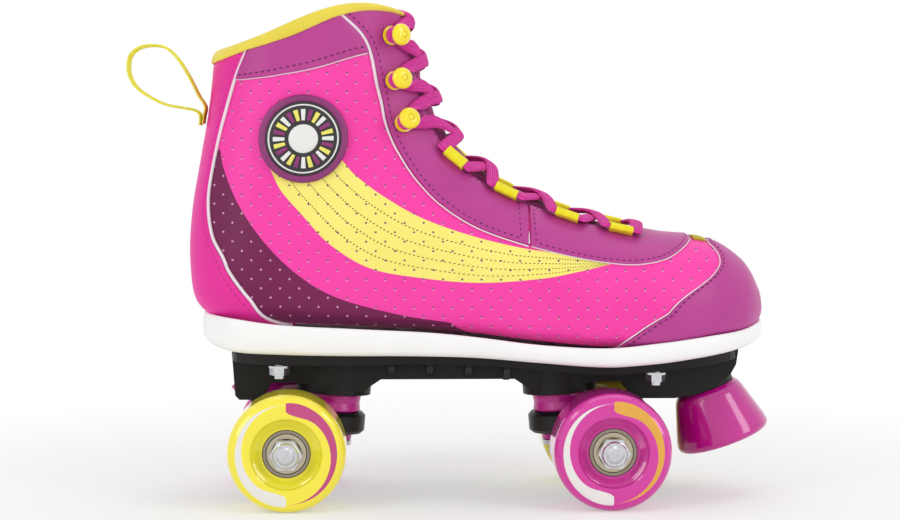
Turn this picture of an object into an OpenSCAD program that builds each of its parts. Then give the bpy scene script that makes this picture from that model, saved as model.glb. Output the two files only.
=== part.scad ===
// Quad roller skate: a high-top boot on a moulded plate with two tilting trucks and four wheels.
// +X points to the toe, -Y to the outer side of a right foot, +Z up. The wheels stand on z = 0.

/* [Wheels] */
// Diameter of a wheel
wheel_d = 54; // [52:0.5:58]
// Width of a wheel
wheel_w = 32; // [30:0.5:35]
// Clear space between the two wheels of a truck
wheel_space = 42; // [40:0.5:46]
// Outer diameter of a wheel bearing
bearing_d = 22; // [21:0.5:24]
// Width of a wheel bearing
bearing_w = 7; // [6:0.5:8]
// Distance between the two bearings of a wheel
spacer_len = 10.3; // [9:0.1:12]
// Diameter of an axle
axle_d = 8; // [7:0.5:9]
// Width of an axle nut across its flats
axle_nut_af = 13; // [12:0.5:14]
// Height of an axle nut
axle_nut_h = 6.5; // [5:0.5:8]

/* [Trucks] */
// Distance between the two axles
wheelbase = 148.6; // [144:0.2:154]
// Level distance from an axle to the hanger's ring, towards the middle of the skate
kingpin_reach = 19.1; // [18.8:0.1:20]
// Lean of a kingpin
kingpin_lean = 5; // [2:0.5:8]
// Diameter of a kingpin
kingpin_d = 8; // [7:0.5:9]
// Outer diameter of the hanger's ring
ring_d = 32; // [30:0.5:34]
// Thickness of the hanger's ring
ring_t = 10; // [8:0.5:11]
// Height of the ring's centre above the axle
ring_up = 9; // [8:0.5:10]
// Level distance from an axle out to its pivot
pivot_reach = 19; // [17:0.5:20]
// Height of a pivot above its axle
pivot_up = 24; // [22:0.5:26]
// Diameter of a pivot ball
pivot_ball_d = 9; // [8:0.5:10]
// Wall of a pivot cup
pivot_cup_wall = 2.2; // [1.5:0.1:3]
// Diameter of an upper cushion
upper_cushion_d = 26.4; // [24:0.2:29]
// Height of an upper cushion
upper_cushion_h = 8.9; // [8:0.1:10]
// Diameter of a lower cushion
lower_cushion_d = 20.6; // [19:0.2:21]
// Height of a lower cushion
lower_cushion_h = 3.8; // [3:0.1:5]

/* [Plate] */
// Gap from the top of a wheel to the sole's lowest point
ride_gap = 11.1; // [10.5:0.1:14]
// Thickness of the plate's flange
flange_t = 4.5; // [4:0.1:5]
// Width of the plate's body below the flange
body_w = 30; // [27:0.5:32]
// Depth of the plate's body below the flange, between the trucks
web_depth = 7.5; // [5:0.5:9]
// Wall left round the pockets in the plate's underside
pocket_wall = 3.4; // [2.5:0.1:4.5]
// Spread of the mounting screws across the plate
screw_spread = 52; // [50:0.5:54]
// Diameter of a mounting screw
screw_d = 5; // [4:0.5:6]

/* [Toe stop] */
// Diameter of the toe stop's lower face
stop_d = 45; // [40:0.5:47]
// Diameter of the toe stop where it meets the plate
stop_top_d = 31; // [28:0.5:33]
// Length of the toe stop along its axis
stop_len = 26.6; // [24:0.2:28]
// Lean of the toe stop
stop_lean = 20; // [16:0.5:24]

/* [Boot] */
// Length of the sole
sole_len = 267; // [260:1:280]
// Widest width of the sole
sole_w = 93; // [90:0.5:98]
// Height of the boot from the sole's lowest point to the collar
boot_h = 165; // [160:1:175]
// Inward turn of the toe on a right foot
toe_turn = 4; // [0:0.5:6]
// Thickness of the padded lining
lining_t = 3; // [2.5:0.1:4]
// Thickness of the quarters
quarter_t = 1.3; // [1:0.1:1.6]
// Thickness of the sewn overlays
overlay_t = 1.1; // [0.8:0.1:1.5]
// Depth of the collar binding
binding_h = 6.5; // [5:0.5:8]
// Diameter of the ankle badge
badge_d = 40; // [34:1:42]
// Width of the lace
lace_w = 5.6; // [4.5:0.1:6]
// Thickness of the lace
lace_t = 2.4; // [2.2:0.1:3]
// Length of a webbing lace loop
loop_len = 11; // [9:0.5:12]
// Diameter of a hook's cap
hook_cap_d = 10; // [9:0.5:11]
// Width of the pull loop's webbing
strap_w = 13; // [10:0.5:16]
// Thickness of the pull loop's webbing
strap_t = 1.8; // [1.4:0.1:2.2]

/* [Fits] */
// Radial clearance of a running or push fit
fit = 0.04; // [0.02:0.01:0.08]
// Gap between soft layers
layer_gap = 0.5; // [0.4:0.05:0.6]

/* [Hidden] */
$fn = 48;
hot_pink = [1, 0.3, 0.67];
purple = [0.7, 0.27, 0.58];
yellow = [1, 0.93, 0.2];
magenta = [0.8, 0.12, 0.58];
black = [0.15, 0.14, 0.14];
steel = [0.75, 0.75, 0.76];

axle_z = wheel_d / 2;
truck_mid_x = -1.5;
wheel_y = (wheel_space + wheel_w) / 2;
stack_half = spacer_len / 2 + bearing_w;
washer_t = 1;
inner_ring_d = axle_d + 4.2;
outer_ring_id = bearing_d - 3;
ball_count = 7;
ball_d = (outer_ring_id - inner_ring_d) / 2 - 0.2;
axle_half = wheel_y + stack_half + washer_t + axle_nut_h + 1;
hanger_end = wheel_y - stack_half - washer_t;

cushion_washer_d = lower_cushion_d;
cushion_washer_t = 2.2;
kingpin_nut_h = 6.8;
kingpin_head_h = 5.3;
kingpin_head_af = kingpin_d * 1.625;
ring_bore_d = 2 * kingpin_d + 0.4;
boss_t = ring_t / 2 + upper_cushion_h;
washer_top_t = -ring_t / 2 - lower_cushion_h;
nut_top_t = washer_top_t - cushion_washer_t;
pivot_angle = atan2(pivot_reach, pivot_up);
cup_d = pivot_ball_d + 2 * pivot_cup_wall;
cup_back = pivot_ball_d / 2 + pivot_cup_wall;

// The boot is drawn at these sizes and then stretched to its own length, width and height.
drawn_len = 267;
drawn_w = 93;
drawn_h = 165;
drawn_low = 65.1;
stretch_x = sole_len / drawn_len;
stretch_y = sole_w / drawn_w;
stretch_z = boot_h / drawn_h;
sole_low = wheel_d + ride_gap;

lining_out = -quarter_t - layer_gap - 0.1;
lining_in = lining_out - lining_t;
overlay_in = layer_gap + 0.4;
overlay_out = overlay_in + overlay_t;
binding_t = 1;
tongue_t = 4;
badge_t = 1.6;
seat_gap = 0.2;
board_inset = 6.5;
board_low = 1;
bed_low = 4;
rim_u = 16;
// Section at which the throat begins.
throat_u = 4.32;
// Degrees between the collar panels and their neighbours.
edge_gap = 1.2;

// Fan of sections from the toe round the heel to the collar. Each row has the x and z of its lower end,
// the x and z of its upper end, half its width, where it is widest, how square it is below and above,
// and the bow of its line.
SECTIONS = [
    [148.0, 86.0, 148.2, 90.0, 1.5, 0.50, 2.0, 2.0, 0],
    [144.6, 82.2, 146.0, 99.0, 12.6, 0.40, 3.0, 2.0, 0],
    [137.0, 79.4, 138.5, 111.0, 24.6, 0.36, 3.5, 2.1, 0],
    [122.0, 76.5, 122.0, 121.5, 36.0, 0.34, 4.0, 2.2, 0],
    [98.0, 73.8, 98.0, 124.5, 43.0, 0.32, 5.0, 2.2, 0],
    [70.0, 73.0, 69.0, 131.0, 44.5, 0.32, 5.0, 2.2, 0],
    [40.0, 75.5, 40.0, 141.5, 42.0, 0.32, 5.0, 2.2, 0],
    [10.0, 79.0, 19.0, 152.0, 38.5, 0.32, 5.0, 2.2, 0],
    [-25.0, 81.5, 4.0, 164.5, 35.5, 0.33, 5.0, 2.2, 0],
    [-65.0, 83.0, -5.0, 176.5, 33.5, 0.36, 4.5, 2.2, 0],
    [-100.0, 84.5, -10.5, 187.0, 32.5, 0.40, 3.4, 2.2, 0],
    [-117.5, 93.0, -13.0, 194.0, 32.0, 0.42, 2.5, 2.2, 1],
    [-121.6, 112.0, -14.5, 199.5, 31.5, 0.44, 2.2, 2.2, 2],
    [-120.6, 136.0, -16.3, 206.0, 31.0, 0.45, 2.1, 2.2, 4],
    [-116.3, 161.0, -18.3, 213.5, 31.2, 0.46, 2.1, 2.2, 6],
    [-112.3, 183.0, -20.2, 220.5, 32.2, 0.47, 2.1, 2.2, 8],
    [-109.5, 207.0, -22.6, 227.0, 33.0, 0.48, 2.1, 2.2, 9.5],
    [-107.5, 231.0, -25.0, 233.8, 33.5, 0.48, 2.1, 2.2, 10.5]
];

// Edges of the sewn pieces, as section number and angle round the section, or the other way round.
STAY_EDGE = [[6.2, 28], [7.2, 28], [8, 31], [8.7, 35.5], [9.6, 40.5], [11, 44], [13, 43],
    [14.2, 40.5], [15, 34.5], [16, 19]];
THROAT_EDGE = [[4.3, 74], [5.3, 64.5], [6, 62], [7, 60.5], [8, 60.5], [9, 66], [10, 70], [12, 72], [16, 73]];
HEEL_EDGE = [[9.1, -84], [9.5, -62], [10.1, -38], [11.3, -38], [12.2, -49], [13, -55.5], [13.7, -56],
    [14.6, -53], [15.4, -46], [16, -36]];
TOE_EDGE = [[-90, 4.9], [-45, 4.78], [-9, 4.45], [7, 3.8], [24, 3.12], [38, 2.85], [50, 2.8], [60, 2.86],
    [72, 2.98], [90, 2.95]];
COLLAR_LOW = [[0, 15.4], [0.25, 15.15], [0.5, 14.78], [0.75, 14.32], [1, 14.08]];
OVERLAY_OUTER = [[6.15, 28], [5.6, 29], [5, 31], [4.45, 34], [3.95, 43], [3.6, 58], [3.42, 74], [3.38, 90]];
OVERLAY_INNER = [[6.15, 61.7], [5.8, 62.4], [5.4, 63.9], [5, 66.8], [4.7, 70], [4.45, 75.5], [4.36, 83],
    [4.33, 90]];

// Collar binding by angle: the share of its depth that shows outside, and its rise above the edge.
BINDING_FLAP = [[-90, 0.24], [-60, 0.26], [-36, 0.36], [-20, 0.65], [0, 0.95], [20, 0.68], [40, 0.42],
    [60, 0.25], [73, 0.22]];
BINDING_RISE = [[-90, 5], [-60, 4.4], [-36, 3.6], [-20, 2.6], [0, 1.8], [20, 1.5], [73, 1.5]];

// Outlines in plan, as x and half width from heel to toe.
SOLE_OUTLINE = [[-117.5, 0], [-113, 16], [-101, 28.5], [-80, 34], [-45, 35], [-5, 37.5], [35, 43],
    [70, 46.5], [100, 45], [125, 36.8], [141, 23], [148.4, 9.5], [150, 0]];
BED_OUTLINE = [[-94, 0], [-91, 12], [-80, 20], [-50, 23.5], [-5, 26.5], [35, 32], [70, 35], [100, 33],
    [120, 24], [130, 13], [133, 0]];
FLANGE_OUTLINE = [[-103, 0], [-102, 20], [-96, 28], [-80, 31], [-50, 29], [-10, 24], [30, 25], [60, 30],
    [95, 32], [120, 29], [133, 20], [136, 0]];

// Heights along the boot, as x and z.
SOLE_BOTTOM = [[-118, 75], [-102, 71.2], [-80, 70.2], [-50, 69.6], [-20, 69.6], [12, 69], [40, 67],
    [70, 65.1], [88, 66], [105, 67.6], [136, 71.8], [150, 75.5]];
SOLE_FLOOR = [[-118, 82.8], [-100, 82.2], [-65, 80.7], [-25, 79.2], [10, 76.7], [40, 73.2], [70, 70.7],
    [98, 71.3], [122, 73.4], [138, 75.1], [150, 77.6]];
SOLE_RIM = [[-118, 88.5], [-100, 86.6], [-86, 84.8], [-71, 83.6], [-44, 82.3], [-10, 80.7], [12, 78.7],
    [40, 75.5], [71, 74.1], [95, 76.2], [120, 78.9], [137, 80.7], [150, 84]];
LASTING = [[-100, 84.5], [-65, 83], [-25, 81.5], [10, 79], [40, 75.5], [70, 73], [98, 73.8], [122, 76.5],
    [138, 79]];

// Hooks and lace loops of one side, as section number and angle, from the collar to the toe.
HOOKS = [[14.54, 53], [12.51, 51], [10.23, 49.5]];
LOOPS = [[8.06, 58.5], [6.65, 59.5], [5.52, 60], [4.67, 62]];

// Free part of the pull loop, seen from the side, as x and z from its lower run round to its upper one.
PULL_LOOP = [[-119.7, 181.6], [-122.4, 183.2], [-125.9, 184], [-134, 186], [-141.2, 189.3], [-147.6, 193.9],
    [-150.7, 198.9], [-151.5, 203.9], [-150.3, 209.2], [-146, 212.7], [-139.8, 213.7], [-133.5, 212.4], [-127.9, 207],
    [-122.8, 198.8], [-118.6, 190.4]];

function unit(v) = v / norm(v);
function mix(a, b, f) = a + (b - a) * f;

// Smooth curve through the rows of a list; t counts rows.
function row_at(rows, i) = let(n = len(rows) - 1)
    i < 0 ? 2 * rows[0] - rows[1] : i > n ? 2 * rows[n] - rows[n - 1] : rows[i];
function along(rows, t) = let(
    i = max(0, min(floor(t), len(rows) - 2)),
    f = t - i,
    a = row_at(rows, i - 1),
    b = row_at(rows, i),
    c = row_at(rows, i + 1),
    d = row_at(rows, i + 2))
    b + ((c - a) * f + (2 * a - 5 * b + 4 * c - d) * f * f + (3 * b - a - 3 * c + d) * f * f * f) / 2;

// Smooth curve through pairs of key and value, read at a key.
function slot_of(pairs, x, i = 0) =
    i >= len(pairs) - 2 || x < pairs[i + 1][0] ? i : slot_of(pairs, x, i + 1);
function slope_at(pairs, i) = let(a = pairs[max(i - 1, 0)], b = pairs[min(i + 1, len(pairs) - 1)])
    (b[1] - a[1]) / (b[0] - a[0]);
function curve(pairs, x) = let(
    i = slot_of(pairs, x),
    a = pairs[i],
    b = pairs[i + 1],
    w = b[0] - a[0],
    f = max(0, min(1, (x - a[0]) / w)),
    g = f * f * (3 - 2 * f))
    mix(a[1], b[1], g) + w * f * (1 - f) * ((1 - f) * slope_at(pairs, i) - f * slope_at(pairs, i + 1));

// From the drawn sizes to the boot's own.
function stretched(p) = [p[0] * stretch_x, p[1] * stretch_y, sole_low + (p[2] - drawn_low) * stretch_z];
function turn_in(x) = toe_turn * pow(max(0, x - 20) / 130, 2);
function boot_z(pairs, x) = sole_low + (curve(pairs, x / stretch_x) - drawn_low) * stretch_z;

// Point of the boot at section u and angle psi, d outside the drawn surface. Angle -90 is underfoot or the
// heel's back, 0 the outer side, 90 the top or the front, and past 90 the inner side.
function skin(u, psi, d) = let(
    q = along(SECTIONS, u),
    low = [q[0], q[1]],
    high = [q[2], q[3]],
    e = unit(high - low),
    inset = d * min(1, u / 2),
    b = low - inset * e,
    t = high + inset * e,
    sn = sin(psi),
    cs = cos(psi),
    n = sn < 0 ? q[6] : q[7],
    s = q[5] + (sn < 0 ? -q[5] : 1 - q[5]) * pow(abs(sn), 2 / n),
    w = (q[4] + inset) * pow(abs(cs), 2 / n),
    bow = q[8] * 6.75 * s * s * (1 - s),
    p = b + s * (t - b) + bow * [-e[1], e[0]],
    x = p[0] + d * max(0, 1 - u / 3))
    stretched([x, (cs > 0 ? -w : w) + turn_in(x), p[1]]);

// How far the skin moves for one section, and the ways towards the collar and out of the boot.
function u_step(u, psi) = norm(skin(u + 0.1, psi, 0) - skin(u - 0.1, psi, 0)) / 0.2;
function up_dir(u, psi) = unit(skin(u + 0.1, psi, 0) - skin(u - 0.1, psi, 0));
function out_dir(u, psi) = unit(cross(skin(u, psi + 2, 0) - skin(u, psi - 2, 0), up_dir(u, psi)));

// Section and angle of the skin's point at x and z on the outer side, improved from a near guess.
function seen_at(x, z, q, tries = 6) = tries == 0 ? q : let(
    p = skin(q[0], q[1], 0),
    a = (skin(q[0] + 0.05, q[1], 0) - p) / 0.05,
    b = (skin(q[0], q[1] + 1, 0) - p),
    miss = [x - p[0], z - p[2]],
    det = a[0] * b[2] - b[0] * a[2])
    seen_at(x, z, q + [miss[0] * b[2] - b[0] * miss[1], a[0] * miss[1] - miss[0] * a[2]] / det, tries - 1);

function throat(u) = curve(THROAT_EDGE, u);
function heel_edge(u) = curve(HEEL_EDGE, u);
function stay_edge(u) = curve(STAY_EDGE, u);
function toe_edge(psi) = let(p = psi > 90 ? 180 - psi : psi) curve(TOE_EDGE, p);

// Section numbers at every half, so that neighbouring layers share their cross lines.
function half_steps(u0, u1) = concat([u0], [for (k = [floor(u0 * 2) + 1:ceil(u1 * 2) - 1]) k / 2], [u1]);

// Closed grids of points: [row][column] of an outer and an inner skin, with walls at the open edges.
function quads(rows, cols, base, size, flip) = [for (i = [0:rows - 2]) for (j = [0:cols - 2])
    let(a = base + i * size + j, b = a + 1, c = a + size, d = c + 1)
    each flip ? [[a, b, c], [b, d, c]] : [[a, c, b], [b, c, d]]];
function edge_wall(outer, inner, flip) = [for (k = [0:len(outer) - 2])
    each flip ? [[outer[k], inner[k], outer[k + 1]], [outer[k + 1], inner[k], inner[k + 1]]]
        : [[outer[k], outer[k + 1], inner[k]], [outer[k + 1], inner[k + 1], inner[k]]]];

// Sheet of material between two grids of points that share rows and columns.
module sheet(outer, inner) {
    rows = len(outer);
    cols = len(outer[0]);
    n = rows * cols;
    points = concat([for (r = outer) each r], [for (r = inner) each r]);
    first_row = [for (j = [0:cols - 1]) j];
    last_row = [for (j = [0:cols - 1]) (rows - 1) * cols + j];
    first_col = [for (i = [0:rows - 1]) i * cols];
    last_col = [for (i = [0:rows - 1]) i * cols + cols - 1];
    shift = function (list) [for (v = list) v + n];
    polyhedron(points, concat(
        quads(rows, cols, 0, cols, false),
        quads(rows, cols, n, cols, true),
        edge_wall(first_row, shift(first_row), false),
        edge_wall(last_row, shift(last_row), true),
        edge_wall(first_col, shift(first_col), true),
        edge_wall(last_col, shift(last_col), false)));
}

// Closed tube or cup: rings of points, each ring closed, with a flat cap on the first and the last ring.
module rings(list) {
    count = len(list);
    sides = len(list[0]);
    walls = [for (i = [0:count - 2]) for (j = [0:sides - 1])
        let(k = (j + 1) % sides, a = i * sides + j, b = i * sides + k, c = a + sides, d = b + sides)
        each [[a, c, b], [b, c, d]]];
    first = [for (j = [0:sides - 1]) j];
    last = [for (j = [sides - 1:-1:0]) (count - 1) * sides + j];
    polyhedron([for (r = list) each r], concat(walls, [first], [last]));
}

// Sewn piece on the boot: at(a, b) gives the section and angle for the steps a in rows and b in columns.
module sewn(rows, cols, inside, outside, at) {
    grid = function (d) [for (a = rows) [for (b = cols) let(q = at(a, b)) skin(q[0], q[1], d)]];
    sheet(grid(outside), grid(inside));
}
function steps(n) = [for (i = [0:n]) i / n];

// Place a child on the boot with its z outwards and its x towards the collar.
module on_skin(u, psi, d) {
    p = skin(u, psi, d);
    n = out_dir(u, psi);
    t = up_dir(u, psi);
    c = cross(n, t);
    multmatrix([[t[0], c[0], n[0], p[0]], [t[1], c[1], n[1], p[1]], [t[2], c[2], n[2], p[2]], [0, 0, 0, 1]])
        children();
}

// Closed outline in plan from a list of x and half width, drawn in by inset.
function plan_point(list, t) = let(
    n = len(list) - 1,
    side = t <= n ? 1 : -1,
    row = along(list, t <= n ? t : 2 * n - t),
    k = t <= n ? t : 2 * n - t)
    [row[0], -side * (k <= 0 || k >= n ? 0 : row[1])];
function plan_at(list, t, inset) = let(
    n = 2 * (len(list) - 1),
    p = plan_point(list, t),
    a = plan_point(list, (t - 0.05 + n) % n),
    b = plan_point(list, (t + 0.05) % n),
    v = unit(b - a),
    q = p + inset * [-v[1], v[0]])
    [q[0] * stretch_x, (q[1] + turn_in(q[0])) * stretch_y];
function plan_ring(list, per, inset) = let(n = 2 * (len(list) - 1))
    [for (k = [0:n * per - 1]) plan_at(list, k / per, inset)];

// Solid between plan rings; each layer gives its inset and its heights along the boot. The two ends are
// closed by strips across the boot, so they follow its curve.
module plan_solid(list, per, layers) {
    plan = [for (l = layers) let(r = plan_ring(list, per, l[0])) [for (p = r) [p[0], p[1], l[1](p[0])]]];
    sides = len(plan[0]);
    half = sides / 2;
    top = (len(plan) - 1) * sides;
    walls = [for (i = [0:len(plan) - 2]) for (j = [0:sides - 1])
        let(k = (j + 1) % sides, a = i * sides + j, b = i * sides + k, c = a + sides, d = b + sides)
        each [[a, c, b], [b, c, d]]];
    low = [for (j = [0:half - 1]) let(a = j, b = j + 1, c = (sides - j) % sides, d = sides - j - 1)
        each concat(j == 0 ? [] : [[a, b, c]], d == b ? [] : [[b, d, c]])];
    high = [for (f = low) [f[2] + top, f[1] + top, f[0] + top]];
    polyhedron([for (r = plan) each r], concat(walls, low, high));
}

// Truck frame: origin on the axle, x towards the middle of the skate. end is -1 at the rear and 1 at the
// front.
function truck_x(end) = truck_mid_x + end * wheelbase / 2;
module at_truck(end) {
    translate([truck_x(end), 0, axle_z])
        rotate([0, 0, end > 0 ? 180 : 0])
            children();
}
module at_kingpin(end) {
    at_truck(end)
        translate([kingpin_reach, 0, ring_up])
            rotate([0, kingpin_lean, 0])
                children();
}
module at_pivot(end) {
    at_truck(end)
        translate([-pivot_reach, 0, pivot_up])
            rotate([0, -pivot_angle, 0])
                children();
}
module both_ends() {
    for (end = [-1, 1]) {
        $end = end;
        children();
    }
}
module hex(af, h) {
    cylinder(d = af / cos(30), h = h, $fn = 6);
}
module tube(d_out, d_in, h) {
    difference() {
        cylinder(d = d_out, h = h);
        translate([0, 0, -1])
            cylinder(d = d_in, h = h + 2);
    }
}

// Boot: soft pieces from the foot outwards.
module footbed() {
    color(hot_pink)
        plan_solid(BED_OUTLINE, 2, [
            [1.2, function (x) lasting_z(x) + bed_low], [0, function (x) lasting_z(x) + bed_low + 2.2],
            [1.4, function (x) lasting_z(x) + bed_low + 3]]);
}
function lasting_z(x) = boot_z(LASTING, x) - lining_in + layer_gap;
module insole_board() {
    color([0.75, 0.6, 0.45])
        plan_solid(BED_OUTLINE, 2, [
            [board_inset, function (x) lasting_z(x) + board_low],
            [board_inset, function (x) lasting_z(x) + bed_low - 0.3]]);
}
module vamp_lining() {
    // A cup: out along the outer skin from the open end to the toe and back along the inner skin.
    us = [4.46, 4, 3.5, 3, 2.5, 2, 1.5, 1, 0.5, 0];
    ring_of = function (u, d) [for (j = [0:27]) skin(u, -90 + j * 360 / 28, d)];
    color(hot_pink)
        cup([for (u = us) ring_of(u, lining_out)], [for (u = us) ring_of(u, lining_in)]);
}
// Cup of two skins that share their rings, open at the first ring and closed at the last.
module cup(outer, inner) {
    count = len(outer);
    sides = len(outer[0]);
    n = count * sides;
    next = function (j) (j + 1) % sides;
    skin_faces = function (base, flip) [for (i = [0:count - 2]) for (j = [0:sides - 1])
        let(a = base + i * sides + j, b = base + i * sides + next(j), c = a + sides, d = b + sides)
        each flip ? [[a, c, b], [b, c, d]] : [[a, b, c], [b, d, c]]];
    rim = [for (j = [0:sides - 1]) each [[j, n + j, next(j)], [next(j), n + j, n + next(j)]]];
    tip = [for (j = [0:sides - 1]) (count - 1) * sides + j];
    inner_tip = [for (j = [sides - 1:-1:0]) n + (count - 1) * sides + j];
    polyhedron(concat([for (r = outer) each r], [for (r = inner) each r]),
        concat(skin_faces(0, false), skin_faces(n, true), rim, [tip], [inner_tip]));
}
module quarter_lining() {
    color(hot_pink)
        sewn(half_steps(4.5, rim_u), steps(25), lining_in, lining_out,
            function (u, b) [u, mix(throat(u), -180 - throat(u), 1 - b)]);
}
module quarter_lateral() {
    color(hot_pink)
        sewn(quarter_lines, steps(12), -quarter_t, 0,
            function (u, b) [u, mix(-72, quarter_top(u), b)]);
}
module quarter_medial() {
    color(hot_pink)
        sewn(quarter_lines, steps(12), -quarter_t, 0,
            function (u, b) [u, mix(180 - quarter_top(u), 252, b)]);
}
// The two quarters meet in front of the throat and part along it.
quarter_lines = concat(half_steps(1, throat_u - 0.02), half_steps(throat_u + 0.02, rim_u));
function quarter_top(u) = u < throat_u ? 89 : throat(u);
module toe_cap() {
    ring_of = function (f, d) [for (j = [0:27])
        let(psi = -90 + j * 360 / 28)
        skin(toe_edge(psi) * f, psi, d)];
    fs = [1, 0.85, 0.7, 0.56, 0.43, 0.31, 0.2, 0.1, 0];
    color(purple)
        cup([for (f = fs) ring_of(f, overlay_out)], [for (f = fs) ring_of(f, overlay_in)]);
}
module heel_counter() {
    color(hot_pink)
        sewn(half_steps(9.2, rim_u), steps(12), overlay_in, overlay_out,
            function (u, b) [u, mix(-180 - heel_edge(u), heel_edge(u), b)]);
}
module vamp_overlay() {
    // Runs round the front end of the throat, from one side's facing to the other's.
    n = len(OVERLAY_OUTER) - 1;
    around = function (list, t)
        let(p = along(list, t <= n ? t : 2 * n - t))
        [p[0], t <= n ? p[1] : 180 - p[1]];
    color(purple)
        sewn([for (k = [0:28]) k / 2], steps(4), overlay_in, overlay_out,
            function (t, b) mix(around(OVERLAY_INNER, t), around(OVERLAY_OUTER, t), b));
}
module eyestay_lateral() {
    color(purple)
        sewn(half_steps(6.25, rim_u), steps(4), overlay_in, overlay_out,
            function (u, b) [u, mix(stay_edge(u), throat(u), b)]);
}
module eyestay_medial() {
    color(purple)
        sewn(half_steps(6.25, rim_u), steps(4), overlay_in, overlay_out,
            function (u, b) [u, 180 - mix(throat(u), stay_edge(u), b)]);
}
// Collar panel between the heel counter and the facing.
function collar_point(a, b) = let(u = mix(curve(COLLAR_LOW, b), rim_u, a))
    [u, mix(heel_edge(u) + edge_gap, stay_edge(u) - edge_gap, b)];
module collar_panel_lateral() {
    color(purple)
        sewn(steps(4), steps(8), overlay_in, overlay_out, function (a, b) collar_point(a, b));
}
module collar_panel_medial() {
    color(purple)
        sewn(steps(4), steps(8), overlay_in, overlay_out,
            function (a, b) let(q = collar_point(a, 1 - b)) [q[0], 180 - q[1]]);
}
// Height below the collar's edge, as a section number.
function below_rim(psi, h) = rim_u - h / u_step(rim_u - 0.2, psi);
module collar_binding() {
    flap_in = overlay_out + layer_gap;
    flap_out = flap_in + binding_t;
    back_in = lining_in - layer_gap;
    back_out = back_in - binding_t;
    // Section of the folded tape as height below the edge and distance out.
    fold = function (flap, rise) [[flap, flap_in], [flap, flap_out], [1 - rise, flap_out],
        [-rise, mix(flap_out, back_out, 0.3)], [-rise, mix(flap_out, back_out, 0.7)], [1 - rise, back_out],
        [binding_h, back_out], [binding_h, back_in], [-0.4, back_in], [-0.4, flap_in]];
    start = throat(rim_u);
    color(yellow)
        rings([for (b = steps(30)) let(
            psi = mix(start, -180 - start, b),
            side = max(psi, -180 - psi),
            outline = fold(binding_h * curve(BINDING_FLAP, side), curve(BINDING_RISE, side)))
            [for (f = outline) skin(below_rim(psi, f[0]), psi, f[1])]]);
}
module tongue() {
    // Flat under the facings, swelling up between them.
    edge_d = lining_in - 2 * layer_gap - binding_t;
    reach = 13;
    top_d = function (u, psi) let(f = abs(psi - 90) / (88 - throat(u)))
        edge_d + (f < 1 ? (1 - f * f) * 7.5 : 0);
    us = half_steps(4.5, rim_u - 0.2);
    grid = function (drop) [for (u = us) [for (b = steps(8))
        let(psi = mix(throat(u) - reach, 180 - throat(u) + reach, b)) skin(u, psi, top_d(u, psi) - drop)]];
    color(hot_pink)
        sheet(grid(0), grid(tongue_t));
}
module vamp_insert() {
    color(yellow)
        sewn([3.04, 3.18, 3.32], steps(4), overlay_in, overlay_out, function (u, b) [u, mix(76, 104, b)]);
}
module badge() {
    // Round disc that follows the ankle.
    place = [12.63, 5.5];
    middle = skin(place[0], place[1], 0);
    ring_of = function (r, d) [for (j = [0:23])
        let(q = seen_at(middle[0] + r * cos(15 * j), middle[2] + r * sin(15 * j), place))
        skin(q[0], q[1], d)];
    low = layer_gap;
    high = layer_gap + badge_t;
    r = badge_d / 2;
    bevel = 0.8;
    hub_r = 0.6;
    color(black)
        rings([ring_of(hub_r, low), ring_of(r * 0.67, low), ring_of(r, low), ring_of(r, high - bevel),
            ring_of(r - bevel, high), ring_of(r * 0.67, high), ring_of(hub_r, high)]);
}
module pull_loop() {
    // One end lies on the heel counter and the other over it, and the free part runs between them.
    under = overlay_out + 2 * layer_gap + strap_t / 2;
    over = under + strap_t + 2 * layer_gap;
    sewn_at = function (u, d) let(p = skin(u, -90, d)) [p[0], p[2]];
    free = [for (p = PULL_LOOP) let(q = stretched([p[0], 0, p[1]])) [q[0], q[2]]];
    route = concat([sewn_at(14.8, over), sewn_at(14.9, over)], free,
        [sewn_at(15.15, under), sewn_at(14.97, under), sewn_at(14.8, under)]);
    n = (len(route) - 1) * 3;
    path = [for (k = [0:n]) along(route, k / 3)];
    side = [for (k = [0:n]) let(v = unit(path[min(k + 1, n)] - path[max(k - 1, 0)])) [-v[1], v[0]]];
    color(yellow)
        translate([0, strap_w / 2, 0])
            rotate([90, 0, 0])
                linear_extrude(strap_w)
                    polygon(concat([for (k = [0:n]) path[k] + side[k] * strap_t / 2],
                        [for (k = [n:-1:0]) path[k] - side[k] * strap_t / 2]));
}

// Lacing: hooks and webbing loops on both facings, and one lace through them all.
hook_lift = 0.9;
hook_neck_d = 3.8;
hook_base_t = 1;
hook_base_d = hook_cap_d - 1.2;
hook_cap_z = lace_w + 2.2;
hook_cap_h = 2.4;
rivet_d = 3;
rivet_seat = 1;
loop_d = overlay_out + 2 * layer_gap + lace_t / 2 + 1.4;
channel_h = (hook_base_t + hook_cap_z) / 2;
cross_rise = lace_t / 2 + 0.3;
cross_d = loop_d + 0.6;
function other(psi, swap) = swap ? 180 - psi : psi;

// Frame on the boot: its origin, towards the collar, across and outwards.
function frame_at(u, psi, d) = let(n = out_dir(u, psi), t = up_dir(u, psi))
    [skin(u, psi, d), t, cross(n, t), n];

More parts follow.
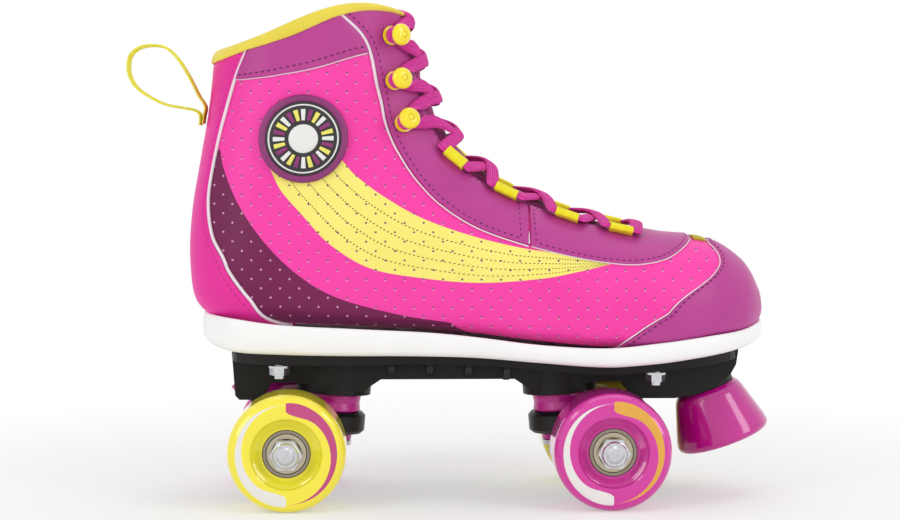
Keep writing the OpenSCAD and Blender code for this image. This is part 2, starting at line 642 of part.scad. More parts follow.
// Rows of the lace's route: a point, and the way that the lace's flat side faces there.
function in_frame(f, a, b, h) = concat(f[0] + f[1] * a + f[2] * b + f[3] * h, f[3]);
function on_boot(u, psi, d, roll) =
    concat(skin(u, psi, d), out_dir(u, psi) * cos(roll) + up_dir(u, psi) * sin(roll));
function through_loop(k, swap) = let(q = LOOPS[k], f = frame_at(q[0], other(q[1], swap), loop_d))
    [for (t = [-1, -0.66, 0.66, 1]) in_frame(f, t * (loop_len / 2 + 3), 0, 0)];
function round_hook(k, swap) = let(
    q = HOOKS[k],
    f = frame_at(q[0], other(q[1], swap), overlay_out + hook_lift),
    r = (hook_neck_d + lace_t) / 2 + 0.5,
    back = f[2] * (swap ? -1 : 1))
    // The lace stands on its edge here, with its flat side round the neck.
    [for (t = [[-1.1, -0.6, -1, 0], [-0.8, 0.6, -0.8, 0.6], [0, 1, 0, 1], [0.8, 0.6, 0.8, 0.6], [1.1, -0.6, 1, 0]])
        concat(f[0] + (f[1] * t[0] + back * t[1]) * r + f[3] * channel_h, f[1] * t[2] + back * t[3])];
function crossing(u, over) = [on_boot(u, 90, cross_d + (over ? cross_rise : -cross_rise), 0)];
function over_edge(u, swap) = [on_boot(u, other(throat(u), swap), loop_d + 0.3, 0)];
function half_lace(swap) = concat(
    [on_boot(4.2, other(76, swap), loop_d, 0)],
    through_loop(3, swap), crossing(5.07, swap),
    through_loop(2, !swap), crossing(6.06, !swap),
    through_loop(1, swap), crossing(7.36, swap),
    through_loop(0, !swap), crossing(9.0, !swap), over_edge(9.35, swap),
    round_hook(2, swap), over_edge(11.1, swap), crossing(11.35, swap), over_edge(11.62, !swap),
    round_hook(1, !swap), over_edge(13.3, !swap), crossing(13.5, !swap), over_edge(13.72, swap),
    round_hook(0, swap),
    [for (r = [[15.7, 82, 5, 20], [16.4, 84, 2, 70], [16.45, 84, -7, 120], [15.7, 84, -13.4, 170],
        [14.7, 84, -14, 180]])
        on_boot(r[0], other(r[1], swap), r[2], r[3])]);
function backwards(list) = [for (i = [len(list) - 1:-1:0]) list[i]];
lace_route = concat(backwards(half_lace(false)), [on_boot(4.16, 90, loop_d, 0)], half_lace(true));
module lace() {
    per = 2;
    n = (len(lace_route) - 1) * per;
    rows = [for (k = [0:n]) along(lace_route, k / per)];
    p = [for (r = rows) [r[0], r[1], r[2]]];
    ring_of = function (k) let(
        t = unit(p[min(k + 1, n)] - p[max(k - 1, 0)]),
        lean = [rows[k][3], rows[k][4], rows[k][5]],
        up = unit(lean - t * (t * lean)),
        out = cross(up, t))
        [for (j = [0:5]) p[k] + out * cos(60 * j) * lace_w / 2 + up * sin(60 * j) * lace_t / 2];
    color(magenta)
        rings([for (k = [0:n]) ring_of(k)]);
}
module lace_loops() {
    oval = function (w, h) [for (j = [0:19]) [h / 2 * sin(18 * j), w / 2 * cos(18 * j)]];
    color(yellow)
        for (q = LOOPS)
            for (swap = [false, true])
                on_skin(q[0], other(q[1], swap), loop_d)
                    rotate([0, 90, 0])
                        translate([0, 0, -loop_len / 2])
                            difference() {
                                linear_extrude(loop_len)
                                    polygon(oval(lace_w + 3.9, lace_t + 2.7));
                                translate([0, 0, -1])
                                    linear_extrude(loop_len + 2)
                                        polygon(oval(lace_w + 2.7, lace_t + 1.6));
                            }
}
module each_hook() {
    for (q = HOOKS)
        for (swap = [false, true])
            on_skin(q[0], other(q[1], swap), overlay_out + hook_lift)
                children();
}
module hooks() {
    edge_t = 0.6;
    neck_r = hook_neck_d / 2;
    cap_r = hook_cap_d / 2;
    color(yellow)
        each_hook()
            difference() {
                rotate_extrude()
                    polygon(concat(
                        [[0, 0], [hook_base_d / 2, 0], [hook_base_d / 2, hook_base_t],
                            [neck_r, hook_base_t + edge_t], [neck_r, hook_cap_z - edge_t],
                            [cap_r, hook_cap_z]],
                        [for (k = [0:6])
                            [cap_r * cos(15 * k), hook_cap_z + edge_t + hook_cap_h * sin(15 * k)]]));
                translate([0, 0, hook_cap_z + hook_cap_h - rivet_seat])
                    cylinder(d = rivet_d + 2 * fit, h = 3);
            }
}
module hook_rivets() {
    color(steel)
        each_hook()
            translate([0, 0, hook_cap_z + hook_cap_h - rivet_seat])
                rotate_extrude()
                    polygon(concat([[0, 0], [rivet_d / 2, 0]],
                        [for (k = [0:4]) [rivet_d / 2 * cos(22.5 * k), rivet_seat + 0.9 * sin(22.5 * k)]]));
}
module sole() {
    z_bottom = function (x) boot_z(SOLE_BOTTOM, x);
    z_floor = function (x) boot_z(SOLE_FLOOR, x);
    z_rim = function (x) boot_z(SOLE_RIM, x);
    color([0.95, 0.95, 0.95])
        difference() {
            plan_solid(SOLE_OUTLINE, 2, [
                [3, z_bottom],
                [0.8, function (x) z_bottom(x) + 1.2],
                [0, function (x) mix(z_bottom(x), z_rim(x), 0.5)],
                [0.5, function (x) z_rim(x) - 0.8],
                [1.1, z_rim],
                [2, z_rim],
                [2.8, z_floor]]);
            each_screw()
                translate([0, 0, -20]) {
                    cylinder(d = screw_d + 2 * fit, h = 60);
                    translate([0, 0, 20 + screw_head_z($screw_x)])
                        cylinder(d = screw_head_d + 0.4, h = 20);
                }
        }
}

// Mounting screws: heads sunk in the sole, nuts under the flange.
screw_head_d = 10;
screw_head_h = 2.2;
screw_nut_h = 3.4;
screw_washer_d = screw_d * 2.1;
// Depth below the plate's top of the faces the washers bear on.
spot_face = flange_t + 0.6;
screw_xs = [-80, 95];
module each_screw() {
    for (x = screw_xs)
        for (side = [-1, 1]) {
            $screw_x = x;
            translate([x, side * screw_spread / 2, boot_z(SOLE_BOTTOM, x) - seat_gap])
                children();
        }
}
// Height of a head's seat above the plate's top.
function screw_head_z(x) = boot_z(SOLE_FLOOR, x) - boot_z(SOLE_BOTTOM, x) + seat_gap - screw_head_h - 0.8;
module mount_screws() {
    color(steel)
        each_screw() {
            tail = spot_face + washer_t + screw_nut_h + 1.7;
            translate([0, 0, -tail])
                cylinder(d = screw_d, h = tail + screw_head_z($screw_x) + 0.5);
            translate([0, 0, screw_head_z($screw_x)])
                cylinder(d1 = screw_head_d, d2 = screw_head_d - 2, h = screw_head_h);
        }
}
module mount_washers() {
    color(steel)
        each_screw()
            translate([0, 0, -spot_face - washer_t])
                tube(screw_washer_d, screw_d + 2 * fit, washer_t);
}
module mount_nuts() {
    color(steel)
        each_screw()
            translate([0, 0, -spot_face - washer_t - screw_nut_h])
                difference() {
                    hex(screw_d * 1.6, screw_nut_h);
                    translate([0, 0, -1])
                        cylinder(d = screw_d + 2 * fit, h = screw_nut_h + 2);
                }
}

// Plate: a flange under the sole, a ribbed body, a boss for each kingpin, a leg for each pivot and the
// toe stop's boss.
function plate_top(x) = boot_z(SOLE_BOTTOM, x) - seat_gap;
boss_d = 35;
boss_cover = 3.5;
boss_z = axle_z + ring_up + boss_t * cos(kingpin_lean);
leg_z = axle_z + pivot_up - 3.5;
leg_w = cup_d + 8;
rear_x = truck_x(-1) - pivot_reach - 8;
front_x = truck_x(1) + pivot_reach;
nose_x = front_x + 44;
function kingpin_x(end) = truck_x(end) - end * (kingpin_reach + boss_t * sin(kingpin_lean));
module side_profile(points, width) {
    translate([0, width / 2, 0])
        rotate([90, 0, 0])
            linear_extrude(width)
                polygon(points);
}
module flange() {
    xs = [for (k = [0:48]) mix(rear_x, nose_x, k / 48)];
    flange_low = function (x) plate_top(x) - flange_t;
    intersection() {
        side_profile(concat(
            [for (x = xs) [x, plate_top(x)]],
            [for (x = backwards(xs)) [x, flange_low(x)]]), 90);
        linear_extrude(200)
            polygon([for (k = [0:87]) let(p = plan_point(FLANGE_OUTLINE, k / 4)) [flange_x(p[0]), p[1]]]);
    }
}
function flange_x(x) = let(f = (x - FLANGE_OUTLINE[0][0]) / (FLANGE_OUTLINE[11][0] - FLANGE_OUTLINE[0][0]))
    mix(rear_x, nose_x, f);
module plate_body() {
    web_z = plate_top(70) - flange_t - web_depth + 4;
    arch_z = axle_z + wheel_d / 2 + 1.5;
    xs = [for (k = [0:16]) mix(rear_x, nose_x, k / 16)];
    top = [for (x = xs) [x, plate_top(x) - 1]];
    low = [[nose_x - 1, plate_top(nose_x) - 8], [nose_x - 3.5, leg_z + 11.5], [nose_x - 12, leg_z + 4.5],
        [nose_x - 20, leg_z + 1.6], [front_x + 14, leg_z], [front_x - 5, leg_z], [front_x - 8, leg_z + 3],
        [front_x - 10, arch_z], [kingpin_x(1) + boss_d / 2, arch_z],
        [kingpin_x(1) - boss_d / 2 + 4, boss_z + 1], [kingpin_x(1) - boss_d / 2 - 5, web_z],
        [kingpin_x(-1) + boss_d / 2 + 5, web_z],
        [kingpin_x(-1) + boss_d / 2 - 4, boss_z + 1], [kingpin_x(-1) - boss_d / 2, arch_z],
        [rear_x + 18, arch_z], [rear_x + 16, leg_z + 3], [rear_x + 13, leg_z], [rear_x + 3.5, leg_z],
        [rear_x + 1.5, leg_z + 2]];
    side_profile(concat(top, low), body_w);
}
module plate_pockets() {
    // Three pockets between the trucks, ribs left between them, open underneath.
    x0 = kingpin_x(-1) + boss_d / 2 + 6;
    x1 = kingpin_x(1) - boss_d / 2 - 6;
    gap = (x1 - x0) / 3;
    roof = plate_top(70) - flange_t;
    for (k = [0:2])
        translate([x0 + gap * k + pocket_wall / 2, -body_w / 2 + pocket_wall, 0])
            cube([gap - pocket_wall, body_w - 2 * pocket_wall, roof]);
}
module plate_gussets() {
    // Ribs from the body's sides out under the flange.
    rib_t = 3;
    root_y = body_w / 2 - 1;
    tip_y = 22;
    for (x = [-28, -10, 8, 26])
        for (side = [0, 1])
            translate([x - rib_t / 2, 0, plate_top(x) - 2.5])
                mirror([0, side, 0])
                    rotate([90, 0, 90])
                        linear_extrude(rib_t)
                            polygon([[root_y, 0], [tip_y, 0], [tip_y, 1 - flange_t], [root_y, -9]]);
}
module plate() {
    color(black)
        difference() {
            union() {
                flange();
                plate_body();
                plate_gussets();
                for (end = [-1, 1])
                    at_kingpin(end)
                        translate([0, 0, boss_t])
                            cylinder(d = boss_d, h = plate_top(kingpin_x(end)) - boss_z - boss_cover);
                at_stop()
                    translate([0, 0, seat_gap])
                        cylinder(d = stop_top_d - 4, h = stop_boss_h);
            }
            plate_pockets();
            for (end = [-1, 1]) {
                at_kingpin(end) {
                    cylinder(d = kingpin_d + 2 * fit, h = 60);
                    translate([0, 0, kingpin_seat(end)])
                        hex(kingpin_head_af + 0.3, 30);
                }
                at_pivot(end)
                    translate([0, 0, -14])
                        cylinder(d = cup_d + 2 * fit, h = 14 + cup_back);
            }
            each_screw()
                translate([0, 0, -40]) {
                    cylinder(d = screw_d + 2 * fit, h = 60);
                    cylinder(d = screw_washer_d + 1.5, h = 40 - spot_face);
                }
            at_stop() {
                translate([0, 0, -1])
                    cylinder(d = stop_bolt_d + 2 * fit, h = 50);
                translate([0, 0, stop_nut_z])
                    hex(stop_nut_af + 0.3, 40);
            }
        }
}
// Height of a kingpin head's seat above the ring's centre.
function kingpin_seat(end) = let(top = plate_top(kingpin_x(end)) - axle_z - ring_up)
    top / cos(kingpin_lean) - kingpin_head_h - 2;
module kingpins() {
    color(steel)
        both_ends()
            at_kingpin($end) {
                low = nut_top_t - kingpin_nut_h - 1.5;
                translate([0, 0, low])
                    cylinder(d = kingpin_d, h = kingpin_seat($end) - low + 1);
                translate([0, 0, kingpin_seat($end)])
                    hex(kingpin_head_af, kingpin_head_h);
            }
}
module kingpin_nuts() {
    color(steel)
        both_ends()
            at_kingpin($end)
                translate([0, 0, nut_top_t - kingpin_nut_h])
                    difference() {
                        union() {
                            translate([0, 0, 1.4])
                                hex(kingpin_head_af, kingpin_nut_h - 1.4);
                            cylinder(d1 = kingpin_d * 1.3, d2 = kingpin_d * 1.5, h = 1.6);
                        }
                        translate([0, 0, -1])
                            cylinder(d = kingpin_d + 2 * fit, h = kingpin_nut_h + 2);
                    }
}
module cushion_washers() {
    // Flat rings between the lower cushions and the kingpin nuts.
    color(steel)
        both_ends()
            at_kingpin($end)
                translate([0, 0, nut_top_t])
                    tube(cushion_washer_d, kingpin_d + 2 * fit, cushion_washer_t);
}
module cushion(d, h, waist) {
    // Urethane ring with rounded edges and a slightly drawn-in waist.
    bore = kingpin_d / 2 + 0.4;
    round_r = 1.4;
    r = d / 2 - round_r;
    rotate_extrude()
        polygon(concat([[bore, 0]],
            [for (k = [0:4]) [r + round_r * sin(22.5 * k), round_r - round_r * cos(22.5 * k)]],
            [[d / 2 - waist, h / 2]],
            [for (k = [0:4]) [r + round_r * cos(22.5 * k), h - round_r + round_r * sin(22.5 * k)]],
            [[bore, h]]));
}
module cushion_upper_front() {
    color(magenta)
        at_kingpin(1)
            translate([0, 0, ring_t / 2])
                cushion(upper_cushion_d, upper_cushion_h, 0.5);
}
module cushion_upper_rear() {
    color(magenta)
        at_kingpin(-1)
            translate([0, 0, ring_t / 2])
                cushion(upper_cushion_d, upper_cushion_h, 0.5);
}
module cushion_lower_front() {
    color(magenta)
        at_kingpin(1)
            translate([0, 0, washer_top_t])
                cushion(lower_cushion_d, lower_cushion_h, 0.2);
}
module cushion_lower_rear() {
    color(magenta)
        at_kingpin(-1)
            translate([0, 0, washer_top_t])
                cushion(lower_cushion_d, lower_cushion_h, 0.2);
}
module pivot_cups() {
    color(magenta)
        both_ends()
            at_pivot($end)
                difference() {
                    translate([0, 0, -1])
                        cylinder(d = cup_d, h = 1 + cup_back);
                    sphere(d = pivot_ball_d + 2 * fit);
                    translate([0, 0, -2])
                        cylinder(d = pivot_ball_d + 2 * fit, h = 2);
                }
}

// Toe stop: a bolted rubber cone that leans forward.
stop_top_z = leg_z + 3.6;
stop_top_x = nose_x - 13;
stop_bolt_d = 8;
stop_nut_af = 13;
stop_nut_h = 6;
stop_head_h = 5.3;
stop_well_d = 17;
stop_cover = 5.5;
stop_boss_h = (plate_top(stop_top_x - 6) - stop_top_z) / cos(stop_lean) - stop_cover;
stop_nut_z = stop_boss_h - stop_nut_h + 1;
stop_head_depth = 9;
module at_stop() {
    translate([stop_top_x, 0, stop_top_z])
        rotate([0, -stop_lean, 0])
            children();
}
module toe_stop() {
    round_r = 3;
    r = stop_d / 2 - round_r;
    low = round_r - stop_len;
    top_r = stop_top_d / 2;
    color(magenta)
        at_stop()
            difference() {
                rotate_extrude()
                    polygon(concat([[0, 0], [0, -stop_len]],
                        [for (k = [0:6]) [r + round_r * sin(15 * k), low - round_r * cos(15 * k)]],
                        [[stop_d / 2 - 0.6, low + 3], [top_r + 1.2, -4], [top_r, -1.5], [top_r - 1.5, 0]]));
                translate([0, 0, -stop_len - 1])
                    cylinder(d = stop_bolt_d + 2 * fit, h = stop_len + 2);
                translate([0, 0, -stop_len - 1])
                    cylinder(d = stop_well_d, h = stop_head_depth + 1);
            }
}
module toe_stop_bolt() {
    color(steel)
        at_stop() {
            low = stop_head_depth - stop_len - 1;
            translate([0, 0, low + 1 - stop_head_h])
                hex(stop_nut_af, stop_head_h);
            translate([0, 0, low])
                cylinder(d = stop_bolt_d, h = stop_nut_z + stop_nut_h - 0.5 - low);
        }
}
module toe_stop_nut() {
    color(steel)
        at_stop()
            translate([0, 0, stop_nut_z])
                difference() {
                    hex(stop_nut_af, stop_nut_h);
                    translate([0, 0, -1])
                        cylinder(d = stop_bolt_d + 2 * fit, h = stop_nut_h + 2);
                }
}

// Trucks: the hanger carries the axle, turns on the ball at its pivot and on its ring round the kingpin.
hanger_tube_d = 14.8;
hanger_end_d = 13;
tube_gap = 1.6;
web_inset = 1.6;
ring_bevel = 1.5;
module hanger(end) {
    arm_len = norm([pivot_reach, pivot_up]);
    ring_r = ring_d / 2;
    web_half = ring_r - 2.5;
    color(black)
        difference() {
            union() {
                at_truck(end) {
                    rotate([90, 0, 0]) {
                        translate([0, 0, -wheel_space / 2 + tube_gap])
                            cylinder(d = hanger_tube_d, h = wheel_space - 2 * tube_gap);
                        translate([0, 0, -hanger_end])
                            cylinder(d = hanger_end_d, h = 2 * hanger_end);
                    }
                    translate([0, 0, ring_up - ring_t / 2 + web_inset])
                        linear_extrude(ring_t - 2 * web_inset)
                            polygon([[-3, -15], [kingpin_reach, -web_half],
                                [kingpin_reach, web_half], [-3, 15]]);
                }
                at_kingpin(end)
                    translate([0, 0, -ring_t / 2])
                        rotate_extrude()
                            polygon([[0, 0], [ring_r - ring_bevel, 0], [ring_r, ring_bevel],
                                [ring_r, ring_t - ring_bevel], [ring_r - ring_bevel, ring_t], [0, ring_t]]);
                at_pivot(end) {
                    sphere(d = pivot_ball_d);
                    translate([0, 0, -arm_len])
                        cylinder(d1 = 15, d2 = 7, h = arm_len - 1.5);
                }
            }
            at_kingpin(end)
                translate([0, 0, -ring_t])
                    cylinder(d = ring_bore_d, h = 2 * ring_t);
            at_truck(end)
                rotate([90, 0, 0])
                    translate([0, 0, -hanger_end - 1])
                        cylinder(d = axle_d + 2 * fit, h = 2 * hanger_end + 2);
        }
}
module hanger_front() {
    hanger(1);
}
module hanger_rear() {
    hanger(-1);
}
// Along the axle: z runs out from the middle of a wheel, on both sides of the skate.
module each_wheel(end) {
    for (side = [-1, 1])
        wheel_frame(end, side)
            children();
}
module wheel_frame(end, side) {
    translate([truck_x(end), side * wheel_y, axle_z])
        rotate([side > 0 ? -90 : 90, 0, 0])
            children();
}
module axle(end) {
    color(steel)
        at_truck(end)
            rotate([90, 0, 0])
                rotate_extrude()
                    polygon([[0, -axle_half], [axle_d / 2 - 1, -axle_half], [axle_d / 2, -axle_half + 1],
                        [axle_d / 2, axle_half - 1], [axle_d / 2 - 1, axle_half], [0, axle_half]]);
}
module axle_front() {
    axle(1);
}
module axle_rear() {
    axle(-1);
}
module axle_nuts(end) {
    color(steel)
        each_wheel(end)
            translate([0, 0, stack_half + washer_t])
                difference() {
                    union() {
                        hex(axle_nut_af, axle_nut_h - 1.6);
                        translate([0, 0, axle_nut_h - 1.6])
                            cylinder(d1 = axle_nut_af * 0.94, d2 = axle_nut_af * 0.82, h = 1.6);
                    }
                    translate([0, 0, -1])
                        cylinder(d = axle_d + 2 * fit, h = axle_nut_h + 2);
                }
}
module axle_nuts_front() {
    axle_nuts(1);
}
module axle_nuts_rear() {
    axle_nuts(-1);
}
module axle_washers(end) {
    color(steel)
        each_wheel(end)
            for (z = [-stack_half - washer_t, stack_half])
                translate([0, 0, z])
                    tube(inner_ring_d - 0.3, axle_d + 2 * fit, washer_t);
}
module axle_washers_front() {
    axle_washers(1);
}
module axle_washers_rear() {
    axle_washers(-1);
}
module bearing_inner_rings(end) {
    color(steel)
        each_wheel(end)
            for (z = [-stack_half, spacer_len / 2])
                translate([0, 0, z])
                    tube(inner_ring_d, axle_d + 2 * fit, bearing_w);
}
module bearing_inner_rings_front() {
    bearing_inner_rings(1);
}
module bearing_inner_rings_rear() {
    bearing_inner_rings(-1);
}
module bearing_balls(end) {
    pitch = (inner_ring_d + outer_ring_id) / 4;
    color(steel)
        each_wheel(end)
            for (z = [-1, 1])
                for (k = [0:ball_count - 1])
                    rotate([0, 0, 360 / ball_count * k])
                        translate([pitch, 0, z * (spacer_len + bearing_w) / 2])
                            sphere(d = ball_d);
}
module bearing_balls_front() {
    bearing_balls(1);
}
module bearing_balls_rear() {
    bearing_balls(-1);
}
module bearing_spacers(end) {
    color(steel)
        each_wheel(end)
            translate([0, 0, -spacer_len / 2])
                tube(axle_d + 2.6, axle_d + 2 * fit, spacer_len);
}
module bearing_spacers_front() {
    bearing_spacers(1);
}
module bearing_spacers_rear() {
    bearing_spacers(-1);
}
// Wheel: rounded shoulders, a dished face down to each bearing, and a web between the bearing seats.
module wheel(end, side, tint) {
    r = wheel_d / 2;
    h = wheel_w / 2;
    seat = bearing_d / 2 + fit;
    round_r = 5;
    half = concat(
        [[seat, stack_half], [seat + 1.2, stack_half + 0.3], [seat + 4.6, h - 1.3], [seat + 5, h - 0.5],
            [seat + 5.5, h - 0.1], [seat + 6.2, h]],
        [for (k = [0:6]) [r - round_r + round_r * sin(15 * k), h - round_r + round_r * cos(15 * k)]]);
    web = outer_ring_id / 2 - 0.4;
    color(tint)
        wheel_frame(end, side)
            rotate_extrude($fn = 96)
                polygon(concat([[web, spacer_len / 2], [seat, spacer_len / 2]], half,
                    [for (p = backwards(half)) [p[0], -p[1]]],
                    [[seat, -spacer_len / 2], [web, -spacer_len / 2]]));
}
module wheel_rear_lateral() {
    wheel(-1, -1, yellow);
}
module wheel_rear_medial() {
    wheel(-1, 1, magenta);
}
module wheel_front_lateral() {
    wheel(1, -1, magenta);
}
module wheel_front_medial() {
    wheel(1, 1, yellow);
}
// Outer rings of a wheel's two bearings, each with a shield on both faces.
module bearing_outer_rings(end, side) {
    shield_t = 0.6;
    shield_id = inner_ring_d + 0.6;
    color(steel)
        wheel_frame(end, side)
            for (z = [-stack_half, spacer_len / 2])
                translate([0, 0, z])
                    difference() {
                        cylinder(d = bearing_d, h = bearing_w);
                        translate([0, 0, -1])
                            cylinder(d = shield_id, h = bearing_w + 2);
                        translate([0, 0, shield_t])
                            cylinder(d = outer_ring_id, h = bearing_w - 2 * shield_t);
                    }
}
module bearings_rear_lateral() {
    bearing_outer_rings(-1, -1);
}
module bearings_rear_medial() {
    bearing_outer_rings(-1, 1);
}
module bearings_front_lateral() {
    bearing_outer_rings(1, -1);
}
module bearings_front_medial() {
    bearing_outer_rings(1, 1);
}

sole();
insole_board();
footbed();
vamp_lining();
quarter_lining();
quarter_lateral();
quarter_medial();
toe_cap();
heel_counter();
vamp_overlay();
eyestay_lateral();
eyestay_medial();
collar_panel_lateral();
collar_panel_medial();
collar_binding();
tongue();
vamp_insert();
badge();
pull_loop();
lace();
lace_loops();
hooks();
hook_rivets();
plate();
mount_screws();
mount_washers();
mount_nuts();
kingpins();
kingpin_nuts();
cushion_washers();
cushion_upper_front();
cushion_upper_rear();
cushion_lower_front();
cushion_lower_rear();
pivot_cups();
toe_stop();
toe_stop_bolt();
toe_stop_nut();
hanger_front();
hanger_rear();
axle_front();
axle_rear();
axle_nuts_front();
axle_nuts_rear();
axle_washers_front();
axle_washers_rear();
bearing_inner_rings_front();
bearing_inner_rings_rear();
bearing_balls_front();
bearing_balls_rear();
bearing_spacers_front();
bearing_spacers_rear();
wheel_rear_lateral();
wheel_rear_medial();
wheel_front_lateral();
wheel_front_medial();
bearings_rear_lateral();
bearings_rear_medial();
bearings_front_lateral();
bearings_front_medial();
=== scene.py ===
# Quad roller skate: a padded high-top boot with sewn panels, on a nylon plate with two trucks and four
# urethane wheels. +X is the toe, -Y the outer side of a right foot and +Z up; sizes are in millimetres
# and become metres where a mesh is placed.
import functools
from math import atan2, copysign, cos, degrees, hypot, pi, radians, sin, tau

import bpy
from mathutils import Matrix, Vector


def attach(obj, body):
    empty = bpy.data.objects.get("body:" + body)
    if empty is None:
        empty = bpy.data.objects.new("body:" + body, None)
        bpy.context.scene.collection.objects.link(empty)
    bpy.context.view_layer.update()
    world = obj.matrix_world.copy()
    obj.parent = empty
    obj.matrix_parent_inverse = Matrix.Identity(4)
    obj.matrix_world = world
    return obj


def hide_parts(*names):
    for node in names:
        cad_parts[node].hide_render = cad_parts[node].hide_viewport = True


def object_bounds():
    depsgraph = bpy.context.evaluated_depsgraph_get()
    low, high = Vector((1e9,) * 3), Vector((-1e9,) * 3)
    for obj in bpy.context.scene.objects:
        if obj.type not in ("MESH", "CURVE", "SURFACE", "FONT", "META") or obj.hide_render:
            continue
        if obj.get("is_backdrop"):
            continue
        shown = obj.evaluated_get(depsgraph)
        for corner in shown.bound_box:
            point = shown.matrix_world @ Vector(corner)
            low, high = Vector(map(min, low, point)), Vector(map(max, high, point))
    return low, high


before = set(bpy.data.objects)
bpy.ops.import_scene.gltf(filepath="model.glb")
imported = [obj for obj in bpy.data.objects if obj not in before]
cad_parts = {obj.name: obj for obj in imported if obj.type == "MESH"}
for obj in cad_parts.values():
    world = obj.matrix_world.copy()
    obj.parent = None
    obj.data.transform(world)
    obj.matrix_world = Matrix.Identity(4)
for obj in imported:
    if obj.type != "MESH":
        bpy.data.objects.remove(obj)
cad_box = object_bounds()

MM = 0.001


# The studio: a pale floor under an even white surround, two tall soft boxes in front and one overhead.
# The camera stands on the outer side at boot height, turned a little to the toe and tipped down.
FLOOR_SIDE = 12.0
AMBIENT = 0.58
SHADOW_REACH = (0.12, 0.4)
SHADOW_FADE = 0.4
CAMERA_PLACE = (-0.0309, -0.951, 0.1646)
CAMERA_LENS = 80.0
CAMERA_TURN = 1.86
CAMERA_TIP = 3.15
WHITE = (1, 1, 1, 1)


def linear(colour):
    """Shader colour of an sRGB colour with parts from 0 to 255."""
    parts = [c / 255 for c in colour]
    return (*[c / 12.92 if c <= 0.04045 else ((c + 0.055) / 1.055) ** 2.4 for c in parts], 1.0)


class Wire:
    """Output of a shader node; reckoning with wires and numbers adds Math nodes to its tree."""

    def __init__(self, socket):
        self.socket = socket

    def with_other(self, operation, other):
        return reckon(operation, self, other)

    __add__ = functools.partialmethod(with_other, "ADD")
    __sub__ = functools.partialmethod(with_other, "SUBTRACT")
    __mul__ = functools.partialmethod(with_other, "MULTIPLY")
    __truediv__ = functools.partialmethod(with_other, "DIVIDE")


def feed(socket, value):
    """Links a wire to an input, or sets the input to a plain value."""
    if isinstance(value, Wire):
        socket.id_data.links.new(value.socket, socket)
    else:
        socket.default_value = value


def node(tree, kind, inputs=(), **settings):
    """Shader node with its settings, and its inputs by name or number."""
    made = tree.nodes.new("ShaderNode" + kind)
    for key, value in settings.items():
        setattr(made, key, value)
    for key, value in dict(inputs).items():
        feed(made.inputs[key], value)
    return made


def out(made, key=0):
    return Wire(made.outputs[key])


def reckon(operation, *values):
    """Wire of a Math node."""
    tree = next(value.socket.id_data for value in values if isinstance(value, Wire))
    return out(node(tree, "Math", enumerate(values), operation=operation))


def new_finish(name, look):
    """Material with one Principled shader; returns the material, its tree and its shader."""
    finish = bpy.data.materials.new(name)
    finish.use_nodes = True
    shader = finish.node_tree.nodes["Principled BSDF"]
    for key, value in look.items():
        shader.inputs[key].default_value = value
    return finish, finish.node_tree, shader


def seen(tree):
    """1 for rays from the camera, straight, mirrored or through something clear."""
    rays = node(tree, "LightPath")
    mirrored = reckon("MAXIMUM", out(rays, "Is Camera Ray"), out(rays, "Is Glossy Ray"))
    return reckon("MAXIMUM", mirrored, out(rays, "Is Transmission Ray"))


def primitive(add, **settings):
    """Adds a mesh primitive with nothing else selected."""
    bpy.ops.object.select_all(action="DESELECT")
    add(**settings)
    return bpy.context.object


floor = primitive(bpy.ops.mesh.primitive_grid_add, x_subdivisions=2, y_subdivisions=2, size=FLOOR_SIDE)
floor.name = "floor"
paper, paper_tree, paper_shader = new_finish(
    "floor_paper", {"Base Color": linear((250, 250, 250)), "Roughness": 0.9, "Specular IOR Level": 0.1})
reach = node(paper_tree, "VectorMath", {0: out(node(paper_tree, "TexCoord"), "Object")}, operation="LENGTH")
fade = node(paper_tree, "MapRange", {"Value": out(reach, "Value"), "From Min": SHADOW_REACH[0],
                                     "From Max": SHADOW_REACH[1], "To Min": SHADOW_FADE})
bright = node(paper_tree, "Emission", {"Color": WHITE})
blend = node(paper_tree, "MixShader", {0: seen(paper_tree) * out(fade), 1: out(paper_shader), 2: out(bright)})
feed(paper_tree.nodes["Material Output"].inputs["Surface"], out(blend))
floor.data.materials.append(paper)
floor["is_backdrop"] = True

scene = bpy.context.scene
scene.world = bpy.data.worlds.new("surround")
scene.world.use_nodes = True
sky = scene.world.node_tree
sky.nodes.clear()
ambient = node(sky, "Background", {"Color": WHITE, "Strength": AMBIENT})
backdrop = node(sky, "Background", {"Color": WHITE})
choose = node(sky, "MixShader", {0: seen(sky), 1: out(ambient), 2: out(backdrop)})
node(sky, "OutputWorld", {"Surface": out(choose)})


for name, place, aim, size, power in (("soft_box_left", (-1.1, -1.0, 0.75), (0, 0, 0.12), (0.5, 1.1), 6.4),
                                      ("soft_box_right", (1.2, -0.9, 0.7), (0, 0, 0.1), (0.5, 1.1), 6.4),
                                      ("soft_box_top", (0.1, 0.2, 1.5), (0, 0, 0.1), (1.2, 1.0), 3.5)):
    lamp = bpy.data.lights.new(name, "AREA")
    lamp.shape = "RECTANGLE"
    lamp.size, lamp.size_y = size
    lamp.energy = power
    holder = bpy.data.objects.new(name, lamp)
    holder.location = place
    holder.rotation_euler = (Vector(aim) - Vector(place)).to_track_quat("-Z", "Y").to_euler()
    scene.collection.objects.link(holder)

lens = bpy.data.cameras.new("camera")
lens.lens = CAMERA_LENS
lens.sensor_width = 36.0
camera = bpy.data.objects.new("camera", lens)
camera.location = CAMERA_PLACE
camera.rotation_euler = (radians(90 - CAMERA_TIP), 0, radians(-CAMERA_TURN))
scene.collection.objects.link(camera)
scene.camera = camera
scene.view_settings.view_transform = "Standard"


